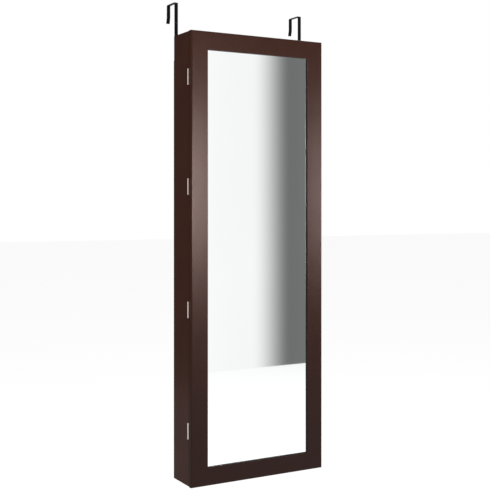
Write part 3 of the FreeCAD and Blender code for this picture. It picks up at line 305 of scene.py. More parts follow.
# %% Polished chrome
chrome, shader, place = new_material("polished_chrome", Metallic=1.0)
wiped = add_node(chrome, "ShaderNodeTexNoise",
                 {"Vector": place, "Scale": per_metre(6), "Detail": 3.0})
add_node(chrome, "ShaderNodeMix",
         {"Factor": wiped.outputs["Fac"], "A": linear("#D6D9DC"), "B": linear("#E4E6E8")},
         {"Result": shader.inputs["Base Color"]}, data_type="RGBA")
add_node(chrome, "ShaderNodeMapRange",
         {"Value": wiped.outputs["Fac"], "To Min": 0.06, "To Max": 0.16},
         {"Result": shader.inputs["Roughness"]})

# %% Brushed nickel
nickel, shader, place = new_material("brushed_nickel", Metallic=1.0, Anisotropic=0.35)
stretched = add_node(nickel, "ShaderNodeMapping", {"Vector": place, "Scale": (0.04, 1.0, 1.0)})
lines = add_node(nickel, "ShaderNodeTexNoise",
                 {"Vector": stretched.outputs["Vector"], "Scale": per_metre(0.5), "Detail": 2.0})
add_node(nickel, "ShaderNodeMix",
         {"Factor": lines.outputs["Fac"], "A": linear("#B8B2A6"), "B": linear("#CDC8BE")},
         {"Result": shader.inputs["Base Color"]}, data_type="RGBA")
add_node(nickel, "ShaderNodeMapRange",
         {"Value": lines.outputs["Fac"], "To Min": 0.22, "To Max": 0.38},
         {"Result": shader.inputs["Roughness"]})

# %% [markdown]
# ## Board, wood, plastics and rubber
# The back is thin hardboard, pressed from wood fibre and left brown. The dowels are
# beech. The catches are moulded brown plastic round a sintered black magnet, and the
# bumpers are clear cast rubber. The plastic's spark texture and the magnet's pores are
# drawn about half a millimetre wide, which is as fine as a close view can show.

# %% Hardboard
hardboard, shader, place = new_material("pressed_hardboard", Roughness=0.62,
                                        Specular_IOR_Level=0.35)
fibre = add_node(hardboard, "ShaderNodeTexNoise",
                 {"Vector": place, "Scale": per_metre(3.5), "Detail": 8.0, "Roughness": 0.75,
                  "Distortion": 1.2})
add_node(hardboard, "ShaderNodeMix",
         {"Factor": fibre.outputs["Fac"], "A": linear("#4F3524"), "B": linear("#7D5B40")},
         {"Result": shader.inputs["Base Color"]}, data_type="RGBA")
add_node(hardboard, "ShaderNodeBump",
         {"Height": fibre.outputs["Fac"], "Strength": 0.3, "Distance": 0.15 * MM},
         {"Normal": shader.inputs["Normal"]})

# %% Beech
beech, shader, place = new_material("turned_beech", Roughness=0.55)
along = add_node(beech, "ShaderNodeMapping", {"Vector": place, "Scale": (0.12, 1.0, 1.0)})
growth = add_node(beech, "ShaderNodeTexNoise",
                  {"Vector": along.outputs["Vector"], "Scale": per_metre(1.2), "Detail": 4.0})
add_node(beech, "ShaderNodeMix",
         {"Factor": growth.outputs["Fac"], "A": linear("#B98F60"), "B": linear("#D8B788")},
         {"Result": shader.inputs["Base Color"]}, data_type="RGBA")

# %% Brown plastic
plastic, shader, place = new_material("moulded_brown_plastic", IOR=1.5)
spark = add_node(plastic, "ShaderNodeTexNoise",
                 {"Vector": place, "Scale": per_metre(0.5), "Detail": 2.0})
add_node(plastic, "ShaderNodeMix",
         {"Factor": spark.outputs["Fac"], "A": linear("#2E1A12"), "B": linear("#3A231A")},
         {"Result": shader.inputs["Base Color"]}, data_type="RGBA")
add_node(plastic, "ShaderNodeMapRange",
         {"Value": spark.outputs["Fac"], "To Min": 0.38, "To Max": 0.5},
         {"Result": shader.inputs["Roughness"]})
add_node(plastic, "ShaderNodeBump",
         {"Height": spark.outputs["Fac"], "Strength": 0.2, "Distance": 0.04 * MM},
         {"Normal": shader.inputs["Normal"]})

# %% Ferrite
ferrite, shader, place = new_material("sintered_ferrite", Metallic=0.2)
pores = add_node(ferrite, "ShaderNodeTexNoise",
                 {"Vector": place, "Scale": per_metre(0.4), "Detail": 5.0})
add_node(ferrite, "ShaderNodeMix",
         {"Factor": pores.outputs["Fac"], "A": linear("#1B1B1D"), "B": linear("#323234")},
         {"Result": shader.inputs["Base Color"]}, data_type="RGBA")
add_node(ferrite, "ShaderNodeMapRange",
         {"Value": pores.outputs["Fac"], "To Min": 0.4, "To Max": 0.65},
         {"Result": shader.inputs["Roughness"]})

# %% Clear rubber
rubber, shader, place = new_material("clear_cast_rubber", IOR=1.49, Transmission_Weight=0.7)
haze = add_node(rubber, "ShaderNodeTexNoise",
                {"Vector": place, "Scale": per_metre(2.5), "Detail": 2.0})
add_node(rubber, "ShaderNodeMix",
         {"Factor": haze.outputs["Fac"], "A": linear("#E4E3DA"), "B": linear("#F0EFEA")},
         {"Result": shader.inputs["Base Color"]}, data_type="RGBA")
add_node(rubber, "ShaderNodeMapRange",
         {"Value": haze.outputs["Fac"], "To Min": 0.15, "To Max": 0.3},
         {"Result": shader.inputs["Roughness"]})

FINISHES = {
    "espresso_paint": espresso, "hardboard": hardboard, "beech": beech,
    "black_velvet": velvet, "mirror_silver": silvered, "hinge_steel": zinc,
    "screw_steel": screw_steel, "hook_black": powder, "brown_plastic": plastic,
    "magnet_black": ferrite, "clear_rubber": rubber, "lock_chrome": chrome,
    "peg_nickel": nickel,
}
print(len(FINISHES), "finishes")

# %% [markdown]
# ## Finish the CAD solids
# A solid whose shape is right keeps its mesh. Each gets the finish of its own slot
# in the record. Real boards and plates never have knife edges, so three modifiers
# ease them: Weld joins the loose triangles, Decimate makes flat faces whole, and
# Bevel rounds what is sharp, so that every edge catches a thin line of light.

# %% Finishes and eased edges
EASE = {
    "espresso_paint": 0.6, "hardboard": 0.25, "black_velvet": 0.7, "mirror_silver": 0.25,
    "hinge_steel": 0.12, "hook_black": 0.25, "brown_plastic": 0.5, "magnet_black": 0.3,
    "lock_chrome": 0.12,
}
EASE_STEPS = 3
SHARP = math.radians(35)
FLAT = math.radians(0.5)
WELD = 0.001 * MM


def ease_edges(obj, width_mm):
    """Rounds the sharp edges of an object without touching its own mesh."""
    weld = obj.modifiers.new("join_triangles", "WELD")
    weld.merge_threshold = WELD
    whole = obj.modifiers.new("whole_faces", "DECIMATE")
    whole.decimate_type = "DISSOLVE"
    whole.angle_limit = FLAT
    rounded = obj.modifiers.new("eased_edges", "BEVEL")
    rounded.width = width_mm * MM
    rounded.segments = EASE_STEPS
    rounded.limit_method = "ANGLE"
    rounded.angle_limit = SHARP


for part in frame["record"]["subparts"]:
    solid = frame["nodes"][part["node"]]
    for slot in solid.material_slots:
        slot.material = FINISHES[part["material_slot"]]
    width = EASE.get(part["material_slot"])
    if width:
        ease_edges(solid, width)
# The door frame takes the lacquer with its painted shade.
for slot in frame["nodes"]["door_frame"].material_slots:
    slot.material = door_lacquer_and_shade
print("finished", len(frame["nodes"]), "solids")

# %% [markdown]
# ## Helpers for the finer pieces
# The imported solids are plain: screws, knobs and knuckles are polygons. The pieces
# that stand for them are modelled once, upright at the origin, and copied to where
# the solids lie. So one helper lists the separate parts of a solid, one spins an
# outline about its axis as a lathe does, one makes the copies, and one turns the
# finished shape into a smooth object that rides on its body. Outlines are in
# millimetres, and lengths of the scene in metres.

# %% Helpers for pieces
SMOOTH = math.radians(32)
LATHE_STEPS = 32
UP = Vector((0, 0, 1))
TO_BACK, TO_FRONT = Vector((0, 1, 0)), Vector((0, -1, 0))
TO_RIGHT, TO_LEFT = Vector((1, 0, 0)), Vector((-1, 0, 0))


def islands(node):
    """The corners of the box round each separate part of a CAD node, in order."""
    shape = bmesh.new()
    shape.from_mesh(frame["nodes"][node].data)
    bmesh.ops.remove_doubles(shape, verts=shape.verts, dist=WELD)
    left, found = set(shape.verts), []
    while left:
        group, edge = [], [left.pop()]
        while edge:
            vert = edge.pop()
            group.append(vert.co.copy())
            near = {rim.other_vert(vert) for rim in vert.link_edges} & left
            left -= near
            edge += near
        low = Vector([min(spot[axis] for spot in group) for axis in range(3)])
        high = Vector([max(spot[axis] for spot in group) for axis in range(3)])
        found.append((low, high))
    shape.free()
    return sorted(found, key=lambda box: [round(v / MM, 2) for v in box[0]])


def turned(outline, steps=LATHE_STEPS):
    """Spins an outline of (radius, height) points in mm round the upright axis."""
    shape = bmesh.new()
    verts = [shape.verts.new((radius * MM, 0, height * MM)) for radius, height in outline]
    edges = [shape.edges.new(pair) for pair in zip(verts, verts[1:])]
    bmesh.ops.spin(shape, geom=verts + edges, cent=(0, 0, 0), axis=UP, dvec=(0, 0, 0),
                   angle=2 * math.pi, steps=steps, use_merge=True)
    bmesh.ops.remove_doubles(shape, verts=shape.verts, dist=WELD)
    return shape


def aimed(spot, facing, roll=0.0):
    """The matrix that stands an upright piece at a spot, with its top facing a way."""
    turn = Vector(facing).to_track_quat("Z", "Y").to_matrix().to_4x4()
    return Matrix.Translation(spot) @ turn @ Matrix.Rotation(roll, 4, "Z")


def copied(part, places):
    """Copies of one shape, each put in its place by a matrix."""
    mesh = bpy.data.meshes.new("one")
    part.to_mesh(mesh)
    part.free()
    whole = bmesh.new()
    for place in places:
        start = len(whole.verts)
        whole.from_mesh(mesh)
        whole.verts.ensure_lookup_table()
        bmesh.ops.transform(whole, matrix=place, verts=whole.verts[start:])
    bpy.data.meshes.remove(mesh)
    return whole


def piece(name, shape, finish, body, slot, *nodes):
    """An object from a finished shape, riding on a body in place of CAD nodes."""
    bmesh.ops.recalc_face_normals(shape, faces=shape.faces)
    mesh = bpy.data.meshes.new(name)
    shape.to_mesh(mesh)
    shape.free()
    mesh.shade_smooth()
    mesh.set_sharp_from_angle(angle=SMOOTH)
    mesh.materials.append(finish)
    made = bpy.data.objects.new(name, mesh)
    bpy.context.scene.collection.objects.link(made)
    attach(made, body)
    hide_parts(*nodes)
    print(name, len(mesh.polygons), "faces")
    return made


# %% [markdown]
# ## Screws
# Every fixing here is a cross-head screw. Those in the hinges, hooks and catch plates
# are countersunk and lie flush. Those in the clips and catches have a low domed head.
# A lathe outline gives the head, shank and point with the top left open. A cross of
# twelve corners is bridged to that opening and pushed down, which makes the recess
# that a driver fits. Each screw is turned by a different amount, as hands leave them.

# %% Cross-head screws
RECESS_WIDE, RECESS_LONG, RECESS_DEEP = 0.62, 2.4, 0.7
RECESS_TAPER = 0.7
SCREW_STEPS = 24
POINT_LONG = 2.0
TURN_STEP = 0.9


def cross_head(outline, size=1.0):
    """A screw from its outline, whose first point is the rim of the recess's floor."""
    shape = turned(outline, SCREW_STEPS)
    rim = [edge for edge in shape.edges if edge.is_boundary]
    near, far = RECESS_WIDE * size * MM / 2, RECESS_LONG * size * MM / 2
    spots = [(near, -far), (near, -near), (far, -near), (far, near), (near, near), (near, far),
             (-near, far), (-near, near), (-far, near), (-far, -near), (-near, -near),
             (-near, -far)]
    cross = [shape.verts.new((x, y, outline[0][1] * MM)) for x, y in spots]
    loop = [shape.edges.new(pair) for pair in zip(cross, cross[1:] + cross[:1])]
    bmesh.ops.bridge_loops(shape, edges=rim + loop)
    grown = bmesh.ops.extrude_edge_only(shape, edges=loop)["geom"]
    floor = [item for item in grown if isinstance(item, bmesh.types.BMVert)]
    bmesh.ops.translate(shape, vec=-UP * RECESS_DEEP * size * MM, verts=floor)
    bmesh.ops.scale(shape, vec=(RECESS_TAPER, RECESS_TAPER, 1), verts=floor)
    ends = set(floor)
    bmesh.ops.contextual_create(
        shape, geom=[edge for edge in shape.edges if set(edge.verts) <= ends])
    return shape


def flush_outline(head, shank, sink, long):
    """Countersunk: flat top, cone, shank, point. Radii, depth of the cone and length."""
    return [(head * 0.8, 0), (head - 0.1, 0), (head, -0.08), (shank, -sink),
            (shank, POINT_LONG - long), (shank * 0.4, -long), (0, -long)]


def domed_outline(head, tall, shank, long):
    """Pan head: a low dome on a flat seat, then shank and point."""
    return [(head * 0.62, 0), (head * 0.82, -0.1 * tall), (head * 0.95, -0.32 * tall),
            (head, -0.62 * tall), (head, -tall), (shank, -tall), (shank, POINT_LONG - long),
            (shank * 0.4, -long), (0, -long)]


def screws(name, node, facing, body, outline, size=1.0):
    """Screws in place of a node's. Each one's top is the end of its box that faces us."""
    axis = max(range(3), key=lambda n: abs(facing[n]))
    places = []
    for count, (low, high) in enumerate(islands(node)):
        spot = (low + high) / 2
        spot[axis] = (high if facing[axis] > 0 else low)[axis]
        places.append(aimed(spot, facing, TURN_STEP * count))
    return piece(name, copied(cross_head(outline, size), places), screw_steel, body,
                 "screw_steel", node)


# %% Screws of hinges, straps and catch plates
small_flush = flush_outline(1.8, 1.1, 0.7, 9)
screws("hinge_screws_in_carcass", "hinge_screws_fixed", TO_FRONT, "cabinet", small_flush)
screws("hinge_screws_in_door", "hinge_screws_door", TO_BACK, "door", small_flush)
screws("catch_plate_screws", "strike_screws", TO_BACK, "door", small_flush)
STRAP_SCREW_SIZE = 1.5
screws("strap_screws", "hook_screws", TO_BACK, "cabinet", flush_outline(3.1, 1.8, 1.3, 24),
       STRAP_SCREW_SIZE)

# %% Screws of clips, catches and lock strike
short_domed = domed_outline(2.4, 0.9, 1.1, 9.9)
long_domed = domed_outline(2.4, 0.9, 1.1, 20.9)
screws("mirror_clip_screws", "clip_screws", TO_BACK, "door", short_domed)
screws("lock_strike_fixings", "lock_strike_screws", TO_BACK, "door", short_domed)
screws("catch_case_screws", "catch_screws", TO_LEFT, "cabinet", long_domed)

# %% [markdown]
# ## Hinge pins
# A pin runs through the five knuckles of each butt hinge. Its ends are rounded over
# like small rivets, and they are what shows above and below the knuckles.

# %% Hinge pins
low, high = islands("hinge_pins")[0]
PIN_HALF = (high.z - low.z) / 2 / MM
pin_half = [(0, PIN_HALF), (0.8, PIN_HALF - 0.04), (1.35, PIN_HALF - 0.16),
            (1.66, PIN_HALF - 0.38), (1.66, PIN_HALF - 0.6), (1.0, PIN_HALF - 0.6)]
pin = pin_half + [(radius, -height) for radius, height in reversed(pin_half)]
spots = [aimed((low + high) / 2, UP) for low, high in islands("hinge_pins")]
piece("riveted_hinge_pins", copied(turned(pin, SCREW_STEPS), spots), hinge_plate, "cabinet",
      "hinge_steel", "hinge_pins")

# %% [markdown]
# ## Hinge leaves
# A butt hinge's leaf is a strip that is rolled round the pin, so its knuckles are
# truly round. The solids have them as twelve flats. Their shape is otherwise right,
# with countersunk holes and gaps between the knuckles, so a welded copy keeps all
# that, and only the long edges between two flats are bevelled until they meet.
# Weighted normals keep the shading of the flat plates flat.

# %% Rounded hinge leaves
FLAT_HALF = 0.5
BENT = math.radians(15), math.radians(50)
UPRIGHT = 0.99


def rises(edge):
    """Whether an edge runs up and down, as the corners of a knuckle do."""
    start, end = edge.verts
    return abs((start.co - end.co).normalized().z) > UPRIGHT


def rolled_leaves(name, node, body):
    """A copy of a node's leaves with the flats of its knuckles rounded."""
    shape = bmesh.new()
    shape.from_mesh(frame["nodes"][node].data)
    bmesh.ops.remove_doubles(shape, verts=shape.verts, dist=WELD)
    bmesh.ops.dissolve_limit(shape, angle_limit=FLAT, verts=shape.verts, edges=shape.edges)
    long = [edge for edge in shape.edges if len(edge.link_faces) == 2 and rises(edge)
            and BENT[0] < edge.calc_face_angle() < BENT[1]]
    bmesh.ops.bevel(shape, geom=long, offset=FLAT_HALF * MM, offset_type="OFFSET", segments=3,
                    profile=0.5, affect="EDGES", clamp_overlap=True, material=-1)
    print(name, len(long), "edges rounded")
    made = piece(name, shape, hinge_plate, body, "hinge_steel", node)
    made.modifiers.new("flat_plates", "WEIGHTED_NORMAL").keep_sharp = True


rolled_leaves("rolled_leaves_in_carcass", "hinge_leaves_fixed", "cabinet")
rolled_leaves("rolled_leaves_in_door", "hinge_leaves_door", "door")

# %% [markdown]
# ## Knobs, rod and sockets
# Necklaces hang from small turned knobs, and bracelets from a rod that two cups hold.
# All are turned on a lathe, so each is one outline, spun. The knob swells out of its
# neck in a soft curve, and each cup has a flange with a raised ring round its mouth.

# %% Necklace knobs
knob = [(0, 24), (1.6, 23.9), (3.1, 23.4), (4.2, 22.5), (4.8, 21.4), (4.95, 20.3), (4.6, 19.1),
        (3.8, 18.2), (2.9, 17.5), (2.4, 16.4), (2.2, 14), (2.2, 4), (2.5, 1.6), (3.4, 0.5),
        (3.6, 0), (0, 0)]
spots = []
for low, high in islands("necklace_pegs"):
    spot = (low + high) / 2
    spot.y = high.y
    spots.append(aimed(spot, TO_FRONT))
piece("turned_necklace_knobs", copied(turned(knob), spots), nickel, "cabinet", "peg_nickel",
      "necklace_pegs")

# %% Bracelet rod
low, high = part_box("bracelet_rod")
ROD_STEPS = 40
ROD_BEVEL = 0.6
half, radius = (high.x - low.x) / 2 / MM, (high.y - low.y) / 2 / MM
rod = [(0, half), (radius - ROD_BEVEL, half), (radius, half - ROD_BEVEL),
       (radius, ROD_BEVEL - half), (radius - ROD_BEVEL, -half), (0, -half)]
rod_bar = copied(turned(rod, ROD_STEPS), [aimed((low + high) / 2, TO_RIGHT)])
piece("bracelet_rod_bar", rod_bar, nickel, "cabinet", "peg_nickel", "bracelet_rod")

# %% Rod sockets
cup = [(0, 0), (10.8, 0), (11, 0.3), (11, 2.0), (10.6, 2.6), (9.3, 3.1), (8.9, 3.8), (8.7, 7.6),
       (8.2, 8.6), (7.3, 9.0), (5.9, 9.0), (5.2, 8.5), (5.1, 7.8), (5.1, 3.0), (0, 3.0)]
for side, facing in (("left", TO_RIGHT), ("right", TO_LEFT)):
    low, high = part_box("rod_socket_" + side)
    spot = (low + high) / 2
    spot.x = (low if facing is TO_RIGHT else high).x
    socket = copied(turned(cup, ROD_STEPS), [aimed(spot, facing)])
    piece("turned_socket_" + side, socket, nickel, "cabinet", "peg_nickel", "rod_socket_" + side)

# %% [markdown]
# ## Bumpers
# Two clear cast domes keep the door off the carcass. They are poured as a drop, so
# the edge is thin and the top nearly flat.

# %% Door bumpers
dome = [(0, 1.9), (1.2, 1.86), (2.3, 1.68), (3.1, 1.32), (3.65, 0.8), (3.95, 0.25), (4.0, 0),
        (0, 0)]
spots = []
for low, high in islands("door_bumpers"):
    spot = (low + high) / 2
    spot.y = high.y
    spots.append(aimed(spot, TO_FRONT))
piece("cast_bumpers", copied(turned(dome), spots), rubber, "cabinet", "clear_rubber",
      "door_bumpers")

# %% [markdown]
# ## Lock barrel
# The barrel is a chromed tube with a rounded flange outside, and a fine thread inside
# the cabinet where the nut grips it. Its outline is a closed loop, wall and bore
# together, and the thread is drawn as plain rings, which look the same. A large
# cross-head screw holds the cam to the plug's inner end, and turns with the lock.

# %% Lock barrel
low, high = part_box("lock_barrel")
BARREL = 7.9
BORE = 5.05
THREAD_PITCH = 1.25
BARREL_STEPS = 48
long = (high.x - low.x) / MM
flange = [(BORE, long), (BORE + 0.5, long), (8.6, long - 0.25), (9.25, long - 0.8),
          (9.5, long - 1.4), (9.5, long - 2.0), (BARREL, long - 2.0)]
tube = []
height = long - 3.0
while height > THREAD_PITCH:
    tube += [(BARREL, height), (BARREL - 0.35, height - THREAD_PITCH / 2)]
    height -= THREAD_PITCH
tube += [(BARREL, height), (BARREL - 0.4, 0), (BORE, 0), (BORE, long)]
inner_end = (low.x, (low.y + high.y) / 2, (low.z + high.z) / 2)
barrel = copied(turned(flange + tube, BARREL_STEPS), [aimed(inner_end, TO_RIGHT)])
piece("threaded_lock_barrel", barrel, chrome, "cabinet", "lock_chrome", "lock_barrel")

# %% Cam screw
low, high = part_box("lock_cam_screw")
spot = (low + high) / 2
spot.x = low.x
CAM_SCREW_SIZE = 1.7
cam_outline = [(2.6, 0), (3.5, -0.15), (4.0, -0.5), (4.2, -1.0), (4.2, -1.6), (0, -1.6)]
cam_head = copied(cross_head(cam_outline, CAM_SCREW_SIZE), [aimed(spot, TO_LEFT)])
piece("cam_screw_head", cam_head, screw_steel, "lock", "screw_steel", "lock_cam_screw")

# %% [markdown]
# ## Ring rolls
# Rings are pushed in between soft rolls: a foam core in velvet that is gathered at
# both ends. Such a pad is best left to physics. One roll is spun as a slack tube with
# its ends drawn in, the gathers are pressed into the ends, and a cloth simulation
# then blows it up, so the velvet finds its own folds. The solver's forces suit cloth a
# metre or so across, and a roll of 14 mm would hardly stir, so the roll is blown up at
# a hundred times its size and brought back. Points may move only a little, which keeps
# the roll in its place in the tray, and the eight rolls are turned copies, each by its
# own angle, so that no two look the same.

# %% One slack roll
low, high = islands("ring_rolls")[0]
ROLL_EASE = 0.1
ROLL_HALF = (high.x - low.x) / 2 / MM - ROLL_EASE
ROLL_RADIUS = (high.z - low.z) / 2 / MM + ROLL_EASE
ROLL_STEPS = 36
RING_APART = 2.2
GATHERS = 9
GATHER_DEEP = 0.07
GATHER_LONG = 16
DRAWN_LONG = 9
DRAWN_DEEP = 0.75
DRAWN_CURVE = 2.2
DIMPLE = 0.6
SLACK = 0.94


def roll_radius(along):
    """Radius of the slack roll: full in the middle, drawn in towards its two ends."""
    drawn = max(0.0, (abs(along) - (ROLL_HALF - DRAWN_LONG)) / DRAWN_LONG)
    return ROLL_RADIUS * SLACK * math.sqrt(max(0.0, 1 - DRAWN_DEEP * drawn ** DRAWN_CURVE))


rings = int(2 * ROLL_HALF / RING_APART)
outline = [(0, -ROLL_HALF + DIMPLE)]
for step in range(rings + 1):
    along = -ROLL_HALF + 2 * ROLL_HALF * step / rings
    outline.append((roll_radius(along), along))
outline.append((0, ROLL_HALF - DIMPLE))
roll = turned(outline, ROLL_STEPS)
for vert in roll.verts:
    drawn = max(0.0, (abs(vert.co.z) / MM - (ROLL_HALF - GATHER_LONG)) / GATHER_LONG)
    angle = math.atan2(vert.co.y, vert.co.x)
    fold = 1 - GATHER_DEEP * drawn * (1 + math.cos(GATHERS * angle))
    vert.co.x *= fold
    vert.co.y *= fold
bmesh.ops.recalc_face_normals(roll, faces=roll.faces)
print("slack roll", len(roll.verts), "points")

# %% Blow the roll up
CAP = 0.7
FRAMES = 20
PRESSURE = 5
POINT_MASS = 0.2
ENLARGED = 100


def inflated(shape):
    """The shape after a short cloth simulation under pressure, with capped moves."""
    bmesh.ops.scale(shape, vec=(ENLARGED, ENLARGED, ENLARGED), verts=shape.verts)
    mesh = bpy.data.meshes.new("slack_roll")
    shape.to_mesh(mesh)
    shape.free()
    slack = bpy.data.objects.new("slack_roll", mesh)
    bpy.context.scene.collection.objects.link(slack)
    cloth = slack.modifiers.new("velvet", "CLOTH")
    cloth.settings.use_pressure = True
    cloth.settings.uniform_pressure_force = PRESSURE
    cloth.settings.effector_weights.gravity = 0
    cloth.settings.mass = POINT_MASS
    cloth.point_cache.frame_start, cloth.point_cache.frame_end = 1, FRAMES
    for step in range(1, FRAMES + 1):
        bpy.context.scene.frame_set(step)
    eased = slack.evaluated_get(bpy.context.evaluated_depsgraph_get()).to_mesh()
    moves = [(after.co - before.co) / ENLARGED
             for before, after in zip(mesh.vertices, eased.vertices)]
    for vert, move in zip(mesh.vertices, moves):
        vert.co = vert.co / ENLARGED + move * min(1.0, CAP * MM / max(move.length, WELD))
    lengths = [move.length / MM for move in moves]
    print("moves, mm: mean", round(sum(lengths) / len(lengths), 2),
          "largest", round(max(lengths), 2), "capped at", CAP)
    slack.to_mesh_clear()
    bpy.context.scene.frame_set(1)
    full = bmesh.new()
    full.from_mesh(mesh)
    bpy.data.objects.remove(slack)
    bpy.data.meshes.remove(mesh)
    return full


roll = inflated(roll)

# %% Eight rolls in the tray
ROLL_TURN = 1.3
spots = []
for count, (low, high) in enumerate(islands("ring_rolls")):
    flip = TO_RIGHT if count % 2 else TO_LEFT
    spots.append(aimed((low + high) / 2, flip, ROLL_TURN * count))
velvet_rolls = piece("velvet_ring_rolls", copied(roll, spots), velvet, "cabinet", "black_velvet",
                     "ring_rolls")

# %% [markdown]
# ## A white studio
# The backdrop and the floor are white where the camera, a reflection or a clear piece
# looks at them, and give only half as much as light, so that the cabinet isn't
# flooded. The Light Path node tells these rays apart, and one function joins its three
# answers. The floor keeps the cabinet's soft shadow.

# %% White world
AMBIENT = 0.5
WHITE = (1, 1, 1, 1)


def looked_at(material):
    """A socket that is 1 for rays of the camera, of a reflection or through glass."""
    ray = add_node(material, "ShaderNodeLightPath")
    either = add_node(material, "ShaderNodeMath",
                      {0: ray.outputs["Is Camera Ray"], 1: ray.outputs["Is Glossy Ray"]},
                      operation="MAXIMUM")
    return add_node(material, "ShaderNodeMath",
                    {0: either.outputs[0], 1: ray.outputs["Is Transmission Ray"]},
                    operation="MAXIMUM").outputs[0]


world = bpy.data.worlds.new("white_studio")
bpy.context.scene.world = world
world.use_nodes = True
sky = world.node_tree.nodes["Background"]
sky.inputs["Color"].default_value = WHITE
add_node(world, "ShaderNodeMapRange",
         {"Value": looked_at(world), "To Min": AMBIENT, "To Max": 1.0},
         {"Result": sky.inputs["Strength"]})
print("world gives", AMBIENT, "as light")

# %% Floor
FLOOR_Z = -1.14
FLOOR_SIZE = 60
FLOOR_GLOW = 0.5
UPWARD = (0, 0, 1)


def plane(name, centre, facing, wide, tall):
    """A flat card: its centre, the direction that it faces, and its size in metres."""
    shape = bmesh.new()
    shape.loops.layers.uv.new("UVMap")
    bmesh.ops.create_grid(shape, x_segments=1, y_segments=1, size=0.5, calc_uvs=True)
    bmesh.ops.scale(shape, vec=(wide, tall, 1), verts=shape.verts)
    turn = Vector(facing).to_track_quat("Z", "Y").to_matrix().to_4x4()
    bmesh.ops.transform(shape, matrix=Matrix.Translation(centre) @ turn, verts=shape.verts)
    mesh = bpy.data.meshes.new(name)
    shape.to_mesh(mesh)
    shape.free()
    mesh.uv_layers[0].name = "UVMap"
    sheet = bpy.data.objects.new(name, mesh)
    bpy.context.scene.collection.objects.link(sheet)
    print(name, wide, "x", tall, "m")
    return sheet


floor_paint = bpy.data.materials.new("pale_floor")
floor_paint.use_nodes = True
shader = floor_paint.node_tree.nodes["Principled BSDF"]
shader.inputs["Base Color"].default_value = linear("#F4F4F4")
shader.inputs["Roughness"].default_value = 0.9
shader.inputs["Specular IOR Level"].default_value = 0.0
shader.inputs["Emission Color"].default_value = WHITE
add_node(floor_paint, "ShaderNodeMath", {0: looked_at(floor_paint), 1: FLOOR_GLOW},
         {0: shader.inputs["Emission Strength"]}, operation="MULTIPLY")
floor = plane("pale_floor", (0, 0, FLOOR_Z), UPWARD, FLOOR_SIZE, FLOOR_SIZE)
floor.data.materials.append(floor_paint)

# %% [markdown]
# ## Cards that only reflections see
# A photographer stands cards round a dark, shiny product, because a gloss shows what
# is round it. Only glossy rays see the ones here, so they light nothing. A dark wall
# and two dim flags keep the white studio from greying the paint. One card in front
# gives the mirror its slow change from bright to grey. Two bright, soft ones at the
# height of the lens give the stiles their sheen. They have to be far brighter than
# white, because the paint reflects so little, so they are linked to the painted boards
# alone: metal would only glare back at them. They are clear, so that the mirror, which
# isn't linked to them, sees what lies behind them and not two black cards.

# %% Reflection cards


def card(name, centre, facing, wide, tall, stops, along="X", clear=False):
    """A card that only glossy rays see. Its glow has stops: (place along it, strength).
    A clear card adds its glow to what lies behind it."""
    glow = bpy.data.materials.new(name)
    glow.use_nodes = True
    glow.node_tree.nodes.clear()
    end = add_node(glow, "ShaderNodeOutputMaterial")
    place = add_node(glow, "ShaderNodeUVMap").outputs["UV"]
    split = add_node(glow, "ShaderNodeSeparateXYZ", {"Vector": place})
    ramp = add_node(glow, "ShaderNodeValToRGB", {"Fac": split.outputs[along]})
    ramp.color_ramp.interpolation = "EASE"
    top = max(strength for _, strength in stops)
    while len(ramp.color_ramp.elements) < len(stops):
        ramp.color_ramp.elements.new(1.0)
    for element, (at, strength) in zip(ramp.color_ramp.elements, stops):
        element.position = at
        share = strength / top
        element.color = (share, share, share, 1)
    shine = add_node(glow, "ShaderNodeEmission",
                     {"Color": ramp.outputs["Color"], "Strength": top}).outputs["Emission"]
    if clear:
        gap = add_node(glow, "ShaderNodeBsdfTransparent").outputs["BSDF"]
        shine = add_node(glow, "ShaderNodeAddShader", {0: shine, 1: gap}).outputs["Shader"]
    glow.node_tree.links.new(shine, end.inputs["Surface"])
    made = plane(name, centre, facing, wide, tall)
    made.data.materials.append(glow)
    made.visible_camera = False
    made.visible_diffuse = False
    made.visible_transmission = False
    made.visible_shadow = False
    made.visible_volume_scatter = False
    return made


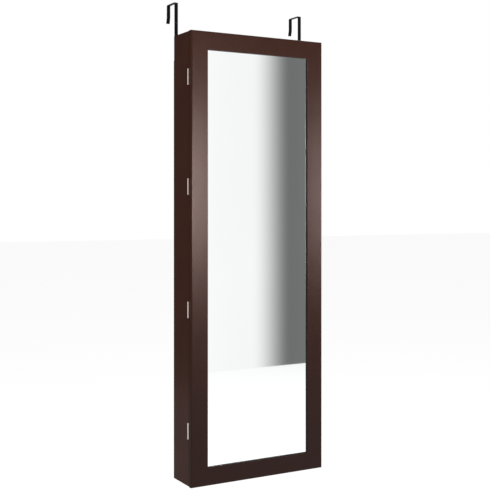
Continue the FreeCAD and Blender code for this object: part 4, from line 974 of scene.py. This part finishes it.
INTO_ROOM = (0, 1, 0)
TO_SIDE_PANEL = (0.49, -0.87, 0)
SHEEN_HIGH, SHEEN_SIZE = 0.25, (1.6, 1.8)
card("dark_wall", (4.0, -4.8, 1.2), INTO_ROOM, 10.0, 6.5,
     [(0.0, 0.10), (0.8, 0.10), (1.0, 1.0)])
card("mirror_card", (2.6, -4.5, 0.9), INTO_ROOM, 1.8, 4.1,
     [(0.0, 0.28), (0.36, 0.17), (0.56, 1.0), (1.0, 1.05)])
sheens = [
    card(name, (x, -4.4, SHEEN_HIGH), INTO_ROOM, *SHEEN_SIZE,
         [(0.0, 0), (0.5, strength), (1.0, 0)], "Y", clear=True)
    for name, x, strength in (("left_sheen", 1.2, 52.0), ("right_sheen", 4.0, 50.0))]
card("side_flag", (-2.2, 3.2, 0.5), TO_SIDE_PANEL, 5, 5, [(0.0, 0.3), (0.35, 0.12)], "Y")
card("low_flag", (-1.9, 1.6, FLOOR_Z + 0.01), UPWARD, 3.4, 3.4, [(0.0, 0.4), (1.0, 0.4)])

# %% Sheen for the painted boards alone
painted = bpy.data.collections.new("painted_boards")
for part in frame["record"]["subparts"]:
    if part["material_slot"] == "espresso_paint":
        painted.objects.link(frame["nodes"][part["node"]])
for sheen in sheens:
    sheen.light_linking.receiver_collection = painted

# %% [markdown]
# ## Lamps
# Two large, soft lamps light the cabinet at a plain level: a key from high on the
# left, and a weaker fill from the right. Reflections don't see them, because the cards
# take that part.

# %% Lamps
AIM = (0, 0, 0.2)


def lamp(name, place, size, watts):
    """A large soft area lamp, aimed at the upper middle of the cabinet."""
    light = bpy.data.lights.new(name, "AREA")
    light.shape = "SQUARE"
    light.size = size
    light.energy = watts
    made = bpy.data.objects.new(name, light)
    made.location = place
    made.rotation_euler = (Vector(AIM) - Vector(place)).to_track_quat("-Z", "Y").to_euler()
    made.visible_glossy = False
    bpy.context.scene.collection.objects.link(made)
    print(name, watts, "W")


lamp("key_lamp", (-2.4, -3.0, 3.2), 2.0, 72)
lamp("fill_lamp", (3.0, -3.0, 2.0), 2.5, 24)
